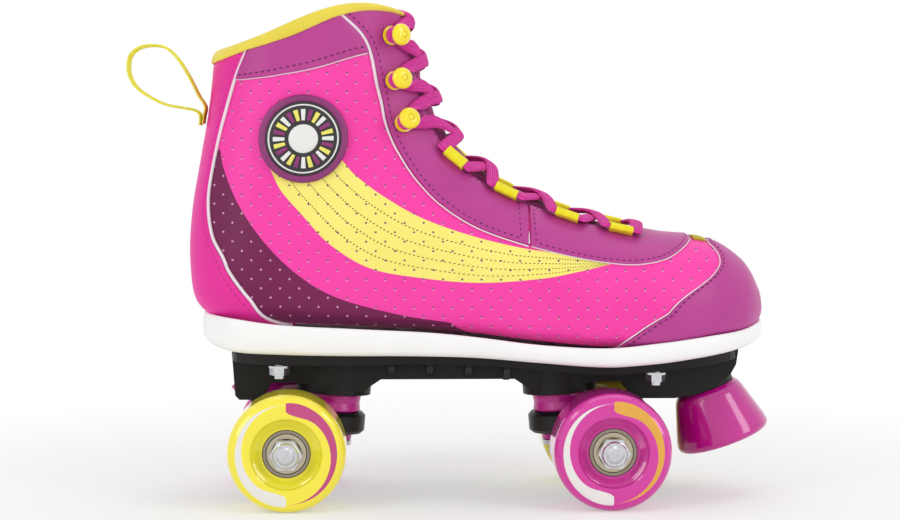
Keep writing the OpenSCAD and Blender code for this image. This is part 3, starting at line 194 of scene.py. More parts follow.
# The sole: a white moulded rubber cup, open on top, that the upper is glued into and that the plate is
# bolted to. Its wall swells a little, with a soft lower edge and a thin lip round the upper.
TOE_TURN = 4.0
TURN_START = 20
TURN_RUN = 130
SOLE_OUTLINE = [(-117.5, 0), (-113, 16), (-101, 28.5), (-80, 34), (-45, 35), (-5, 37.5), (35, 43), (70, 46.5),
                (100, 45), (125, 36.8), (141, 23), (148.4, 9.5), (150, 0)]
SOLE_BOTTOM = [(-118, 75), (-102, 71.2), (-80, 70.2), (-50, 69.6), (-20, 69.6), (12, 69), (40, 67),
               (70, 65.1), (88, 66), (105, 67.6), (136, 71.8), (150, 75.5)]
SOLE_FLOOR = [(-118, 82.8), (-100, 82.2), (-65, 80.7), (-25, 79.2), (10, 76.7), (40, 73.2), (70, 70.7),
              (98, 71.3), (122, 73.4), (138, 75.1), (150, 77.6)]
SOLE_RIM = [(-118, 88.5), (-100, 86.6), (-86, 84.8), (-71, 83.6), (-44, 82.3), (-10, 80.7), (12, 78.7),
            (40, 75.5), (71, 74.1), (95, 76.2), (120, 78.9), (137, 80.7), (150, 84)]


def along(rows, t):
    """Smooth curve through the rows of a list; t counts rows."""
    last = len(rows) - 1
    i = max(0, min(int(t), last - 1))
    f = t - i

    def row(k):
        if 0 <= k <= last:
            return rows[k]
        end, next_in = (0, 1) if k < 0 else (last, last - 1)
        return [2 * a - b for a, b in zip(rows[end], rows[next_in])]

    return [b + ((c - a) * f + (2 * a - 5 * b + 4 * c - d) * f * f + (3 * b - a - 3 * c + d) * f ** 3) / 2
            for a, b, c, d in zip(row(i - 1), row(i), row(i + 1), row(i + 2))]


def curve(pairs, key):
    """Value at a key, on a smooth curve through pairs of key and value."""
    last = len(pairs) - 1
    i = 0
    while i < last - 1 and key >= pairs[i + 1][0]:
        i += 1

    def slope(k):
        a, b = pairs[max(k - 1, 0)], pairs[min(k + 1, last)]
        return (b[1] - a[1]) / (b[0] - a[0])

    (x0, y0), (x1, y1) = pairs[i], pairs[i + 1]
    width = x1 - x0
    f = clamp((key - x0) / width)
    bent = (1 - f) * slope(i) - f * slope(i + 1)
    return y0 + (y1 - y0) * f * f * (3 - 2 * f) + width * f * (1 - f) * bent


def mix(a, b, f):
    return a + (b - a) * f


def clamp(f):
    return max(0.0, min(1.0, f))


def turn_in(x):
    """How far the boot turns to the inner side at x."""
    return TOE_TURN * (max(0.0, x - TURN_START) / TURN_RUN) ** 2


def grid_piece(name, columns, rows, place):
    """Grid primitive whose points are moved to place(a, b), a across and b along, both from 0 to 1."""
    piece = primitive(bpy.ops.mesh.primitive_grid_add, x_subdivisions=columns, y_subdivisions=rows, size=1)
    piece.name = piece.data.name = name
    for point in piece.data.vertices:
        a = round((point.co.x + 0.5) * columns) / columns
        b = round((point.co.y + 0.5) * rows) / rows
        point.co = Vector(place(a, b)) * MM
    return piece


def clean(merge=True, close=True):
    """Merges meeting points of the active piece; closing fills open ends and turns faces outwards."""
    bpy.ops.object.mode_set(mode="EDIT")
    bpy.ops.mesh.select_all(action="SELECT")
    if merge:
        bpy.ops.mesh.remove_doubles(threshold=1e-6)
    if close:
        bpy.ops.mesh.fill_holes(sides=0)
        bpy.ops.mesh.select_all(action="SELECT")
        bpy.ops.mesh.normals_make_consistent(inside=False)
    bpy.ops.object.mode_set(mode="OBJECT")


def activate(piece):
    bpy.ops.object.select_all(action="DESELECT")
    bpy.context.view_layer.objects.active = piece
    piece.select_set(True)


def smooth(piece, angle=40):
    activate(piece)
    bpy.ops.object.shade_smooth_by_angle(angle=radians(angle))
    return piece


def apply_modifier(piece, kind, **settings):
    activate(piece)
    made = piece.modifiers.new(kind.lower(), kind)
    for key, value in settings.items():
        setattr(made, key, value)
    bpy.ops.object.modifier_apply(modifier=made.name)


def bevel(piece, width, angle=50):
    apply_modifier(piece, "BEVEL", width=width * MM, segments=2, limit_method="ANGLE",
                   angle_limit=radians(angle))


def closed_piece(name, columns, rows, place, angle, edge=0.0):
    """Grid rolled up into a closed skin, its sharp edges rounded."""
    piece = grid_piece(name, columns, rows, place)
    clean()
    if edge:
        bevel(piece, edge)
    return smooth(piece, angle)


def plan_piece(name, outline, per, layers):
    """Closed piece of rings in plan; each layer has its inset, its share of the half width and its heights."""
    count = len(outline) - 1
    whole = 2 * count
    near = 0.05

    def at_step(t):
        k = min(t, whole - t)
        x, half = along(outline, k)
        return x, (-1 if t <= count else 1) * (half if 0 < k < count else 0)

    def place(a, b):
        inset, share, height = layers[round(b * (len(layers) - 1))]
        t = (a * whole) % whole
        (x, y), back, ahead = at_step(t), at_step((t - near) % whole), at_step((t + near) % whole)
        run = Vector((ahead[0] - back[0], ahead[1] - back[1])).normalized()
        x, y = x - inset * run.y, y + inset * run.x
        return x, y * share + turn_in(x), height(x)

    return closed_piece(name, whole * per, len(layers) - 1, place, 40)


def level(pairs, rise=0.0):
    """Heights along the boot, rise above a line."""
    return lambda x: curve(pairs, x) + rise


def sole_wall(f):
    return lambda x: mix(curve(SOLE_BOTTOM, x), curve(SOLE_RIM, x), f)


LOWER_EDGE = ((2.6, 0.15), (1.5, 0.7), (0.7, 1.6), (0.25, 2.9))
LIP = ((0.45, -1.1), (0.75, -0.25), (1.1, 0), (2, 0), (2.3, -0.4))
sole = plan_piece("sole_cup", SOLE_OUTLINE, 12, [
    *[(4, share, level(SOLE_BOTTOM)) for share in (0, 0.4, 0.8, 1)],
    *[(inset, 1, level(SOLE_BOTTOM, rise)) for inset, rise in LOWER_EDGE],
    (0, 1, sole_wall(0.5)), (0.15, 1, sole_wall(0.75)),
    *[(inset, 1, level(SOLE_RIM, rise)) for inset, rise in LIP],
    *[(2.8, share, level(SOLE_FLOOR)) for share in (1, 0.5, 0)]])


def shared_group(name, *values):
    """Shader node group that takes a place and values; returns it with a wire for each."""
    group = bpy.data.node_groups.new(name, "ShaderNodeTree")
    group.interface.new_socket("Place", in_out="INPUT", socket_type="NodeSocketVector")
    for label in values:
        group.interface.new_socket(label, in_out="INPUT", socket_type="NodeSocketFloat")
    entry = group.nodes.new("NodeGroupInput")
    return group, *[out(entry, label) for label in ("Place", *values)]


def give(group, **outputs):
    """Ends a group with its outputs."""
    for label in outputs:
        group.interface.new_socket(label, in_out="OUTPUT", socket_type="NodeSocketFloat")
    end = group.nodes.new("NodeGroupOutput")
    for label, wire in outputs.items():
        feed(end.inputs[label], wire)


def use_group(tree, group, *values):
    """Group node on the piece's own Object coordinates."""
    place = out(node(tree, "TexCoord"), "Object")
    return node(tree, "Group", enumerate((place, *values)), node_tree=group)


def noise(tree, place, scale, detail=2.0):
    return out(node(tree, "TexNoise", {"Vector": place, "Scale": scale, "Detail": detail}))


def blend_over(finish, colour, factor):
    """Lays an sRGB colour over the finish's base colour, by a wire."""
    tree = finish.node_tree
    base = tree.nodes["Principled BSDF"].inputs["Base Color"]
    before = Wire(base.links[0].from_socket) if base.is_linked else base.default_value
    feed(base, out(node(tree, "Mix", {0: factor, 6: before, 7: linear(colour)}, data_type="RGBA"), 2))


def surface(name, low, high, rough, texture, relief=None, by="Tone", look=None):
    """Finish between two colours, mixed by one output of a shared group that texture names with its values.
    Rough is one value, or a range over the tone; relief is a bump's depth in millimetres and its strength."""
    finish, tree, shader = new_finish(name, {"Base Color": linear(low), **(look or {})})
    grain = use_group(tree, *texture)
    blend_over(finish, high, out(grain, by))
    if isinstance(rough, tuple):
        span = {"Value": out(grain, "Tone"), "To Min": rough[0], "To Max": rough[1]}
        rough = out(node(tree, "MapRange", span))
    feed(shader.inputs["Roughness"], rough)
    if relief:
        raised = {"Height": out(grain, "Height"), "Distance": relief[0] * MM, "Strength": relief[1]}
        feed(shader.inputs["Normal"], out(node(tree, "Bump", raised)))
    return finish


def sew(piece, finish, slot, *stands_for):
    """Puts a piece of the boot on its body with its finish, and hides the CAD nodes that it stands for; slot is
    not used.
    """
    piece.data.materials.append(finish)
    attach(piece, "boot_and_plate")
    if stands_for:
        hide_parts(*stands_for)
    return piece


# Moulded skin: soft cloudy patches and a fine pebble, for rubber and nylon.
moulded, place, scale = shared_group("moulded_skin", "Scale")
give(moulded, Height=noise(moulded, place, scale, 3.0), Tone=noise(moulded, place, 45.0, 4.0))

sole_finish = surface("sole_rubber", (246, 246, 246), (254, 254, 253), (0.42, 0.6), (moulded, 900.0),
                      (0.08, 0.35))
sew(sole, sole_finish, "sole_rubber", "sole")


# The insole board stays as the CAD drew it, in brown fibre board, under a pink foam footbed whose top is
# dished for the foot and covered with the lining's cloth.
BED_OUTLINE = [(-94, 0), (-91, 12), (-80, 20), (-50, 23.5), (-5, 26.5), (35, 32), (70, 35), (100, 33),
               (120, 24), (130, 13), (133, 0)]
LASTING = [(-100, 84.5), (-65, 83), (-25, 81.5), (10, 79), (40, 75.5), (70, 73), (98, 73.8), (122, 76.5),
           (138, 79)]
LINING_OUT = -1.9
LINING_THICK = 3.0
BED_LOW = LINING_THICK - LINING_OUT + 4.5
BED_LAYERS = ((1.4, 0, 0), (1.4, 0.6, 0), (1.4, 1, 0), (0.6, 1, 0.3), (0.1, 1, 1.0), (0, 1, 1.8), (0.4, 1, 2.5),
              (1.4, 1, 2.95), (3.5, 1, 2.9), (3.5, 0.75, 2.6), (3.5, 0.45, 2.4), (3.5, 0, 2.35))
footbed = plan_piece("footbed_pad", BED_OUTLINE, 10,
                     [(inset, share, level(LASTING, BED_LOW + rise)) for inset, share, rise in BED_LAYERS])

# Knitted lining cloth: fine crossed ribs.
knit, place, scale = shared_group("lining_knit", "Scale")
ribs = [out(node(knit, "TexWave", {"Vector": place, "Scale": scale, "Distortion": 1.2, "Detail": 1.0},
                 wave_type="BANDS", bands_direction=axis, wave_profile="SIN"), "Fac") for axis in "XZ"]
crossed = ribs[0] * ribs[1]
give(knit, Height=crossed, Tone=crossed * 0.4 + noise(knit, place, 60.0))

lining_finish = surface("lining_knit", (176, 46, 118), (232, 92, 166), 0.9, (knit, 420.0), (0.25, 0.6),
                        look={"Sheen Weight": 0.3})
sew(footbed, lining_finish, "lining_fabric", "footbed")


def dress(names, finish):
    """Gives CAD nodes that stay in view another finish."""
    for name in names:
        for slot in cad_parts[name].material_slots:
            slot.material = finish


dress(["insole_board"],
      surface("fibre_board", (140, 110, 80), (172, 142, 110), 0.85, (moulded, 1500.0), by="Height"))


# The linings: padded pink knit behind the quarters, cut in one piece from facing to facing under the foot, and
# a cup of the same cloth in the toe. Every piece of the upper lies on the surface that skin gives; its
# sections from toe to collar have a lower and an upper point, half width, widest share, fullness and bow.
SECTIONS = [
    (148.0, 86.0, 148.2, 90.0, 1.5, 0.50, 2.0, 2.0, 0), (144.6, 82.2, 146.0, 99.0, 12.6, 0.40, 3.0, 2.0, 0),
    (137.0, 79.4, 138.5, 111.0, 24.6, 0.36, 3.5, 2.1, 0), (122, 76.5, 122, 121.5, 36, 0.34, 4, 2.2, 0),
    (98, 73.8, 98, 124.5, 43, 0.32, 5, 2.2, 0), (70, 73, 69, 131, 44.5, 0.32, 5, 2.2, 0),
    (40, 75.5, 40, 141.5, 42, 0.32, 5, 2.2, 0), (10, 79, 19, 152, 38.5, 0.32, 5, 2.2, 0),
    (-25, 81.5, 4, 164.5, 35.5, 0.33, 5, 2.2, 0), (-65, 83, -5, 176.5, 33.5, 0.36, 4.5, 2.2, 0),
    (-100, 84.5, -10.5, 187, 32.5, 0.40, 3.4, 2.2, 0), (-117.5, 93, -13, 194, 32, 0.42, 2.5, 2.2, 1),
    (-121.6, 112, -14.5, 199.5, 31.5, 0.44, 2.2, 2.2, 2), (-120.6, 136, -16.3, 206, 31, 0.45, 2.1, 2.2, 4),
    (-116.3, 161, -18.3, 213.5, 31.2, 0.46, 2.1, 2.2, 6), (-112.3, 183, -20.2, 220.5, 32.2, 0.47, 2.1, 2.2, 8),
    (-109.5, 207, -22.6, 227, 33, 0.48, 2.1, 2.2, 9.5), (-107.5, 231, -25, 233.8, 33.5, 0.48, 2.1, 2.2, 10.5)]
LOW_FULL, TOP_FULL = 6, 7
BOW_PEAK = 27 / 4
COLLAR = 16.0
THROAT_LOW = 4.5
TOE_LINING = 4.46
THROAT_EDGE = [(4.3, 74), (5.3, 64.5), (6, 62), (7, 60.5), (8, 60.5), (9, 66), (10, 70), (12, 72), (16, 73)]
LINING_EDGE = 0.8
CROWN_RUN = 3.5
throat = functools.partial(curve, THROAT_EDGE)


@functools.lru_cache(maxsize=None)
def section(u):
    return tuple(along(SECTIONS, u))


def skin(u, turn, d=0.0):
    """Point of the upper, d outside it. Turn goes round a section: 0 is the outer side, a quarter the top."""
    x0, z0, x1, z1, half, widest, low_full, top_full, bow = section(u)
    reach = hypot(x1 - x0, z1 - z0)
    ex, ez = (x1 - x0) / reach, (z1 - z0) / reach
    grow = d * min(1.0, u / 2)
    c, s = cos(turn), sin(turn)
    full = low_full if s < 0 else top_full
    radius = (abs(c) ** full + abs(s) ** full) ** (-1 / full)
    width = (half + grow) * radius * abs(c)
    share = widest + (-widest if s < 0 else 1 - widest) * radius * abs(s)
    rise = share * (reach + 2 * grow) - grow
    lean = bow * BOW_PEAK * share * share * (1 - share)
    x = x0 + rise * ex - lean * ez + d * max(0.0, 1 - u / 3)
    z = z0 + rise * ez + lean * ex
    return Vector((x, (-width if c > 0 else width) + turn_in(x), z))


def power_of(value, power):
    """Power that keeps the value's sign."""
    return copysign(abs(value) ** power, value)


def bend(u, angle, back=False):
    """Angle round section u as its fullness bends it, or straightened back; both in radians."""
    c, s = cos(angle), sin(angle)
    full = section(u)[LOW_FULL if s < 0 else TOP_FULL] / 2
    power = full if back else 1 / full
    bent = atan2(power_of(s, power), power_of(c, power))
    return bent + tau * round((angle - bent) / tau)


def turn_at(u, psi):
    """Turn of an angle psi in degrees, as the pattern's edges are measured."""
    return bend(u, radians(psi))


def path_length(points):
    return sum((b - a).length for a, b in zip(points, points[1:]))


def run_length(path, steps):
    """Length on the upper of path(t), t from 0 to 1."""
    return path_length([skin(*path(k / steps)) for k in range(steps + 1)])


def thicken(piece, thickness, edge):
    """Gives a sheet its thickness inwards and rounds its cut edges."""
    apply_modifier(piece, "SOLIDIFY", thickness=thickness * MM, offset=-1.0, use_even_offset=True)
    bevel(piece, edge)
    return smooth(piece)


def laid(name, columns, rows, place):
    """Grid laid by place(a, b, sink) to face out of the boot; also returns whether it runs from a = 1."""
    e = 0.02
    across = place(0.5 + e, 0.5) - place(0.5 - e, 0.5)
    length = place(0.5, 0.5 + e) - place(0.5, 0.5 - e)
    flip = across.cross(length).dot(place(0.5, 0.5) - place(0.5, 0.5, 1)) < 0
    return grid_piece(name, columns, rows, lambda a, b: place(1 - a if flip else a, b)), flip


def crowd(f):
    """Draws grid lines towards both edges."""
    return mix(f, (1 - cos(pi * f)) / 2, 0.75)


def panel(name, columns, rows, where, low, high, crown=0.0, edge=0.3):
    """Sewn panel from depth low to high; where(a, b) gives its u and turn, and crown lifts its inside."""
    across = run_length(lambda t: where(t, 0.5), 20)
    length = run_length(lambda t: where(0.5, t), 40)

    def place(a, b, sink=0.0):
        a, b = crowd(a), crowd(b)
        inner = min(1.0, min(a, 1 - a) * across / CROWN_RUN, min(b, 1 - b) * length / CROWN_RUN)
        return skin(*where(a, b), high + crown * (1 - (1 - inner) ** 2) - sink)

    return thicken(laid(name, columns, rows, place)[0], high - low, edge)


def cup(name, columns, rows, open_edge, low, high, crown=0.0, edge=0.3):
    """Toe piece, closed at the tip; open_edge(turn) gives the u that it reaches all round."""
    def place(a, b, sink=0.0):
        if b == 1:
            return (skin(0, 0, high - sink) + skin(0, pi, high - sink)) / 2
        turn = mix(-0.5, 1.5, a) * pi
        lift = crown * (1 - (1 - min(1.0, b * 10)) ** 2)
        return skin(open_edge(turn) * (1 - b), turn, high + lift - sink)

    piece = laid(name, columns, rows, place)[0]
    clean(close=False)
    return thicken(piece, high - low, edge)


def strip(start, stop, low, high):
    """Pattern from one section to another between two edges, each the angle psi at u."""
    def where(a, b):
        u = mix(start, stop, b)
        return u, mix(turn_at(u, low(u)), turn_at(u, high(u)), a)
    return where


lining_where = strip(THROAT_LOW, COLLAR, throat, lambda u: -180 - throat(u))
LINING_DEPTH = (LINING_OUT - LINING_THICK, LINING_OUT, 0.0, LINING_EDGE)
quarter_lining = panel("quarter_lining_knit", 72, 44, lining_where, *LINING_DEPTH)
sew(quarter_lining, lining_finish, "lining_fabric", "quarter_lining")
toe_lining = cup("vamp_lining_knit", 48, 16, lambda turn: TOE_LINING, *LINING_DEPTH)
sew(toe_lining, lining_finish, "lining_fabric", "vamp_lining")


# The quarters: the pink sides of the boot, coated synthetic leather cut in two halves that meet over the toes,
# lasted under the foot. They are punched all over with small holes in staggered rows.
QUARTER_FRONT = 1.0
QUARTER_LOW = -72
QUARTER_TOP = 89
QUARTER_SPLIT = 4.0
SPLIT_RUN = 0.5
QUARTER_THICK = 1.3
HOLE_PITCH = 8.8
HOLE_ROW = 4.3
HOLE_RADIUS = 0.5
HOLE_DEPTH = 2.5
LIP_DROP = 0.42
LIP_SHADING_SHARE = 0.55


def quarter_top(u):
    return mix(QUARTER_TOP, throat(u), clamp((u - QUARTER_SPLIT) / SPLIT_RUN))


def inner_side(where):
    """The same pattern or line on the boot's inner side."""
    def mirrored(*at):
        u, turn = where(*at)
        return u, pi - turn
    return mirrored


SIDES = (("lateral", lambda where: where), ("medial", inner_side))
quarter_where = strip(QUARTER_FRONT, COLLAR, lambda u: QUARTER_LOW, quarter_top)

# Leather grain: rounded cells with fine creases between them, and a slow change of tone.
leather, place, scale = shared_group("leather_grain", "Scale")
cells = node(leather, "TexVoronoi", {"Vector": place, "Scale": scale, "Smoothness": 0.6}, feature="SMOOTH_F1")
give(leather, Height=(noise(leather, place, 420.0, 5.0) * 0.7 + out(cells, "Distance")) * 0.35,
     Tone=noise(leather, place, 28.0, 3.0))


def ramp(value, low, high):
    """Wire from 0 where the value is low to 1 where it is high."""
    return out(node(value.socket.id_data, "MapRange", {"Value": value, "From Min": low, "From Max": high},
                    interpolation_type="SMOOTHSTEP"))


def far(x, z):
    return reckon("SQRT", x * x + z * z)


def round_mask(x, z, radius, soft):
    """1 inside a radius of the point, 0 outside, with a soft edge."""
    return ramp(far(x, z), radius + soft, radius - soft)


def off_middle(value):
    """How far a value is from the middle between two whole numbers."""
    return reckon("FRACT", value) - 0.5


# Punched holes: staggered rows in side view, with masks of each hole and of its lower lip on which the finishes
# paint light and shade.
holes, place = shared_group("punched_holes")
axes = node(holes, "SeparateXYZ", {0: place})
hole_row = out(axes, "Z") / (HOLE_ROW * MM)
odd = reckon("FLOORED_MODULO", reckon("FLOOR", hole_row), 2.0)
hole_x = off_middle(odd * 0.5 + out(axes, "X") / (HOLE_PITCH * MM)) * HOLE_PITCH
hole_z = off_middle(hole_row) * HOLE_ROW
hole = round_mask(hole_x, hole_z, HOLE_RADIUS, 0.14)
lip = round_mask(hole_x, hole_z + LIP_DROP, HOLE_RADIUS + 0.05, 0.2)
give(holes, Hole=hole, Lip=lip * reckon("SUBTRACT", 1.0, hole))


def leather_finish(name, low, high, punched=None, grain=1100.0, gloss=(0.36, 0.5)):
    """Coated synthetic leather between two tones; punched has the colours of the painted shading in its holes
    and on their lower lips.
    """
    finish = surface(name, low, high, gloss, (leather, grain), (0.12, 0.5), look={"Specular IOR Level": 0.25})
    if punched:
        hole_shading_colour, lip_shading_colour = punched
        tree = finish.node_tree
        pattern = use_group(tree, holes)
        blend_over(finish, lip_shading_colour, out(pattern, "Lip") * LIP_SHADING_SHARE)
        blend_over(finish, hole_shading_colour, out(pattern, "Hole"))
        height = tree.nodes["Bump"].inputs["Height"]
        feed(height, Wire(height.links[0].from_socket) - out(pattern, "Hole") * HOLE_DEPTH)
    return finish


# The pink's holes are painted dark as shade inside them, and their lower lips painted light as a highlight.
pink_finish = leather_finish("pink_leather", (244, 58, 164), (255, 76, 181), ((150, 88, 130), (255, 190, 226)))
for side, way in SIDES:
    sew(panel(f"quarter_{side}_leather", 56, 110, way(quarter_where), -QUARTER_THICK, 0.0), pink_finish,
        "pink_leather", "quarter_" + side)


# The stripes: thin prints on the quarters, a pale yellow one that sweeps from the ankle to the toes with four
# dotted lines along it, and a plum one that runs in front of the heel down to the sole. Their edges are x and z
# in side view; the panels' edges are a section u and an angle psi.
YELLOW_LOW = [(-83.5, 156), (-78.6, 146), (-69.1, 135), (-56.3, 121.4), (-38.1, 110.5), (-14.3, 106),
              (11.9, 103.9), (40, 105.8), (57.5, 109), (72.8, 112.4)]
YELLOW_UP = [(-50.8, 160.1), (-48.2, 157), (-44.5, 152.9), (-33, 144.2), (-14.8, 133.7), (7.9, 125.5),
             (30.8, 119.9), (49, 117.2), (62, 114.8), (72.8, 112.4)]
PLUM_UP = [(-107.2, 164.7), (-105.2, 155.3), (-98.2, 139.1), (-86, 121.7), (-70.3, 106.7), (-52.1, 96.4),
           (-23.9, 88.8), (-1, 85.3)]
HEEL_EDGE = [(9.1, -84), (9.5, -62), (10.1, -38), (11.3, -38), (12.2, -49), (13, -55.5), (13.7, -56),
             (14.6, -53), (15.4, -46), (16, -36)]
YELLOW_ROUND = 0.5
ROUND_FADE = 6
PLUM_END = (7.1, -0.9)
PLUM_TOP, PLUM_MIDDLE, PLUM_FRONT = 14.0, 9.3, 7.0
PLUM_KNEE = 0.6
PLUM_UNDER = 3
PLUM_LOW = -66
PRINT_LOW = -0.25
PRINT_HIGH = 0.12
MAP_UNIT = 100
BANDS = 5.0
DOT_PITCH = 1.5
DOT_RADIUS = 0.34
heel_edge = functools.partial(curve, HEEL_EDGE)
coarse = [(skin(u / 2, radians(t)), (u / 2, radians(t)))
          for u in range(4, 33) for t in range(-80, 81, 10)]


@functools.lru_cache(maxsize=None)
def find(x, z):
    """The u and turn of the outer side's point that a side view shows at x, z."""
    u, turn = min(coarse, key=lambda row: (row[0].x - x) ** 2 + (row[0].z - z) ** 2)[1]
    e, most_u, most_turn = 0.01, 0.3, 0.2
    for _ in range(8):
        p = skin(u, turn)
        along_u = (skin(u + e, turn) - p) / e
        along_turn = (skin(u, turn + e) - p) / e
        area = along_u.x * along_turn.z - along_u.z * along_turn.x
        ex, ez = x - p.x, z - p.z
        u += max(-most_u, min(most_u, (ex * along_turn.z - ez * along_turn.x) / area))
        turn += max(-most_turn, min(most_turn, (along_u.x * ez - along_u.z * ex) / area))
    return u, turn


def yellow_where(a, b):
    t = (len(YELLOW_LOW) - 1) * b - YELLOW_ROUND * (1 - (2 * a - 1) ** 2) * (1 - b) ** ROUND_FADE
    return find(*[mix(*pair, a) for pair in zip(along(YELLOW_LOW, t), along(YELLOW_UP, t))])


def plum_where(a, b):
    last = len(PLUM_UP) - 1
    t = (last + 1) * b
    end = find(*PLUM_UP[last])
    up = find(*along(PLUM_UP, t)) if t <= last else [mix(*pair, t - last) for pair in zip(end, PLUM_END)]
    if b < PLUM_KNEE:
        u = mix(PLUM_TOP, PLUM_MIDDLE, b / PLUM_KNEE)
        low = turn_at(u, heel_edge(u) - PLUM_UNDER)
    else:
        u = mix(PLUM_MIDDLE, PLUM_FRONT, (b - PLUM_KNEE) / (1 - PLUM_KNEE))
        low = turn_at(u, PLUM_LOW)
    return mix(u, up[0], a), mix(low, up[1], a)


def print_sheet(name, columns, rows, where):
    """Thin print with its own map: across it from 0 to 1, and along it in map units."""
    length = run_length(lambda t: where(0.5, t), 60)
    piece, flip = laid(name, columns, rows, lambda a, b, sink=0.0: skin(*where(a, b), PRINT_HIGH - sink))
    for spot in piece.data.uv_layers[0].data:
        spot.uv = (1 - spot.uv.x if flip else spot.uv.x, spot.uv.y * length / MAP_UNIT)
    widths = [run_length(lambda t: where(t, k / rows), 8) for k in range(rows + 1)]
    width = piece.data.attributes.new("band_width", "FLOAT", "POINT")
    for point in piece.data.vertices:
        width.data[point.index].value = widths[point.index // (columns + 1)]
    apply_modifier(piece, "SOLIDIFY", thickness=(PRINT_HIGH - PRINT_LOW) * MM, offset=-1.0)
    return smooth(piece)


def own_map(tree):
    """Wires of both ways of the piece's own map."""
    ways = node(tree, "SeparateXYZ", {0: out(node(tree, "UVMap"))})
    return out(ways, "X"), out(ways, "Y")


# The yellow print's holes are painted dark as shade inside them, and their lower lips painted light as a
# highlight.
yellow_finish = leather_finish("yellow_print", (248, 232, 112), (255, 244, 132),
                               ((118, 84, 96), (255, 250, 200)))
across, down = own_map(yellow_finish.node_tree)
band_width = out(node(yellow_finish.node_tree, "Attribute", attribute_name="band_width"), "Fac")
band = across * BANDS
off_line = off_middle(band + 0.5) * (band_width / BANDS)
off_dot = off_middle(down / (DOT_PITCH / MAP_UNIT)) * DOT_PITCH
between = reckon("LESS_THAN", reckon("ABSOLUTE", band - BANDS / 2), BANDS / 2 - 0.3)
blend_over(yellow_finish, (92, 66, 40), round_mask(off_line, off_dot, DOT_RADIUS, 0.12) * between)
# On the plum print the holes are painted pale and their lower lips carry painted shade.
plum_finish = leather_finish("plum_print", (106, 22, 72), (124, 34, 86), ((214, 158, 194), (90, 26, 62)))
for side, way in SIDES:
    sew(print_sheet("stripe_yellow_" + side, 24, 120, way(yellow_where)), yellow_finish, "yellow_webbing")
    sew(print_sheet("stripe_plum_" + side, 16, 90, way(plum_where)), plum_finish, "purple_leather")


# The toe cap: purple leather drawn over the toe box, its edge curving down both sides to the sole, sewn on over
# the quarters. The small olive patch between it and the overlay is a scrap of the yellow webbing.
TOE_EDGE = [(-90, 4.9), (-45, 4.75), (-25, 4.43), (-8, 4.1), (8.5, 3.75), (25.6, 3.12), (39, 2.85), (50, 2.8),
            (60, 2.86), (72, 2.98), (90, 2.95)]
PATCH_RUN = (3.04, 3.32)
PATCH_SIDE = 76
OVERLAY_HIGH = 1.3
OVERLAY = (-0.1, OVERLAY_HIGH, 0.6)


def toe_edge(turn):
    """Section that the toe cap reaches at a turn of its own section."""
    angle = degrees(turn)
    return curve(TOE_EDGE, angle if angle <= 90 else 180 - angle)


insert_where = strip(*PATCH_RUN, lambda u: PATCH_SIDE, lambda u: 180 - PATCH_SIDE)
purple_finish = leather_finish("purple_leather", (176, 56, 138), (196, 76, 156), gloss=(0.32, 0.44))
sew(cup("toe_cap_leather", 96, 44, toe_edge, *OVERLAY), purple_finish, "purple_leather", "toe_cap")
insert_finish = leather_finish("olive_patch", (176, 160, 40), (206, 190, 62), grain=2200.0, gloss=(0.55, 0.7))
sew(panel("vamp_insert_patch", 16, 8, insert_where, -0.1, 1.2, 0.3), insert_finish, "yellow_webbing",
    "vamp_insert")


# The heel counter: a stiffened pink leather piece round the back of the boot from the sole to the collar, a
# shade deeper than the quarters and without holes, sewn on over them.
HEEL_LOW = 9.2
heel_where = strip(HEEL_LOW, COLLAR, lambda u: -180 - heel_edge(u), heel_edge)
heel_finish = leather_finish("heel_leather", (224, 40, 150), (242, 54, 166))
sew(panel("heel_counter_leather", 64, 80, heel_where, *OVERLAY), heel_finish, "pink_leather", "heel_counter")


# The facings and the overlay: purple leather that carries the lacing, one facing down each side of the throat
# and one overlay round its front end, butted against them in a seam.
STAY_EDGE = [(6.2, 28), (7.2, 28), (8, 31), (8.7, 35.5), (9.6, 40.5), (11, 44), (13, 43), (14.2, 40.5),
             (15, 34.5), (16, 19)]
OVERLAY_OUTER = [(6.15, 28), (5.6, 29), (5, 31), (4.45, 34), (3.95, 43), (3.6, 58), (3.42, 74), (3.38, 90)]
OVERLAY_INNER = [(6.15, 61.7), (5.8, 62.4), (5.4, 63.9), (5, 66.8), (4.7, 70), (4.45, 75.5), (4.36, 83),
                 (4.33, 90)]
STAY_LOW = 6.2
stay_edge = functools.partial(curve, STAY_EDGE)
stay_where = strip(STAY_LOW, COLLAR, stay_edge, throat)


def overlay_where(a, b):
    last = len(OVERLAY_OUTER) - 1
    t = 2 * last * b
    outer, inner = (along(line, min(t, 2 * last - t)) for line in (OVERLAY_OUTER, OVERLAY_INNER))
    turn = mix(turn_at(*outer), turn_at(*inner), a)
    return mix(outer[0], inner[0], a), turn if t <= last else pi - turn


for side, way in SIDES:
    sew(panel(f"eyestay_{side}_leather", 28, 100, way(stay_where), *OVERLAY), purple_finish, "purple_leather",
        "eyestay_" + side)
sew(panel("vamp_overlay_leather", 28, 140, overlay_where, *OVERLAY), purple_finish, "purple_leather",
    "vamp_overlay")


# The collar panels: purple leather below the collar's binding, one on each side between the heel counter and
# the facing.
COLLAR_LOW = [(0, 15.4), (0.25, 15.15), (0.5, 14.78), (0.75, 14.32), (1, 14.08)]
COLLAR_GAP = 1.2
COLLAR_DEPTH = (-0.1, OVERLAY_HIGH - 0.2, 0.6)


def collar_where(a, b):
    u = mix(curve(COLLAR_LOW, b), COLLAR, a)
    return u, mix(turn_at(u, heel_edge(u) + COLLAR_GAP), turn_at(u, stay_edge(u) - COLLAR_GAP), b)


for side, way in SIDES:
    sew(panel(f"collar_{side}_leather", 24, 60, way(collar_where), *COLLAR_DEPTH), purple_finish,
        "purple_leather", "collar_panel_" + side)


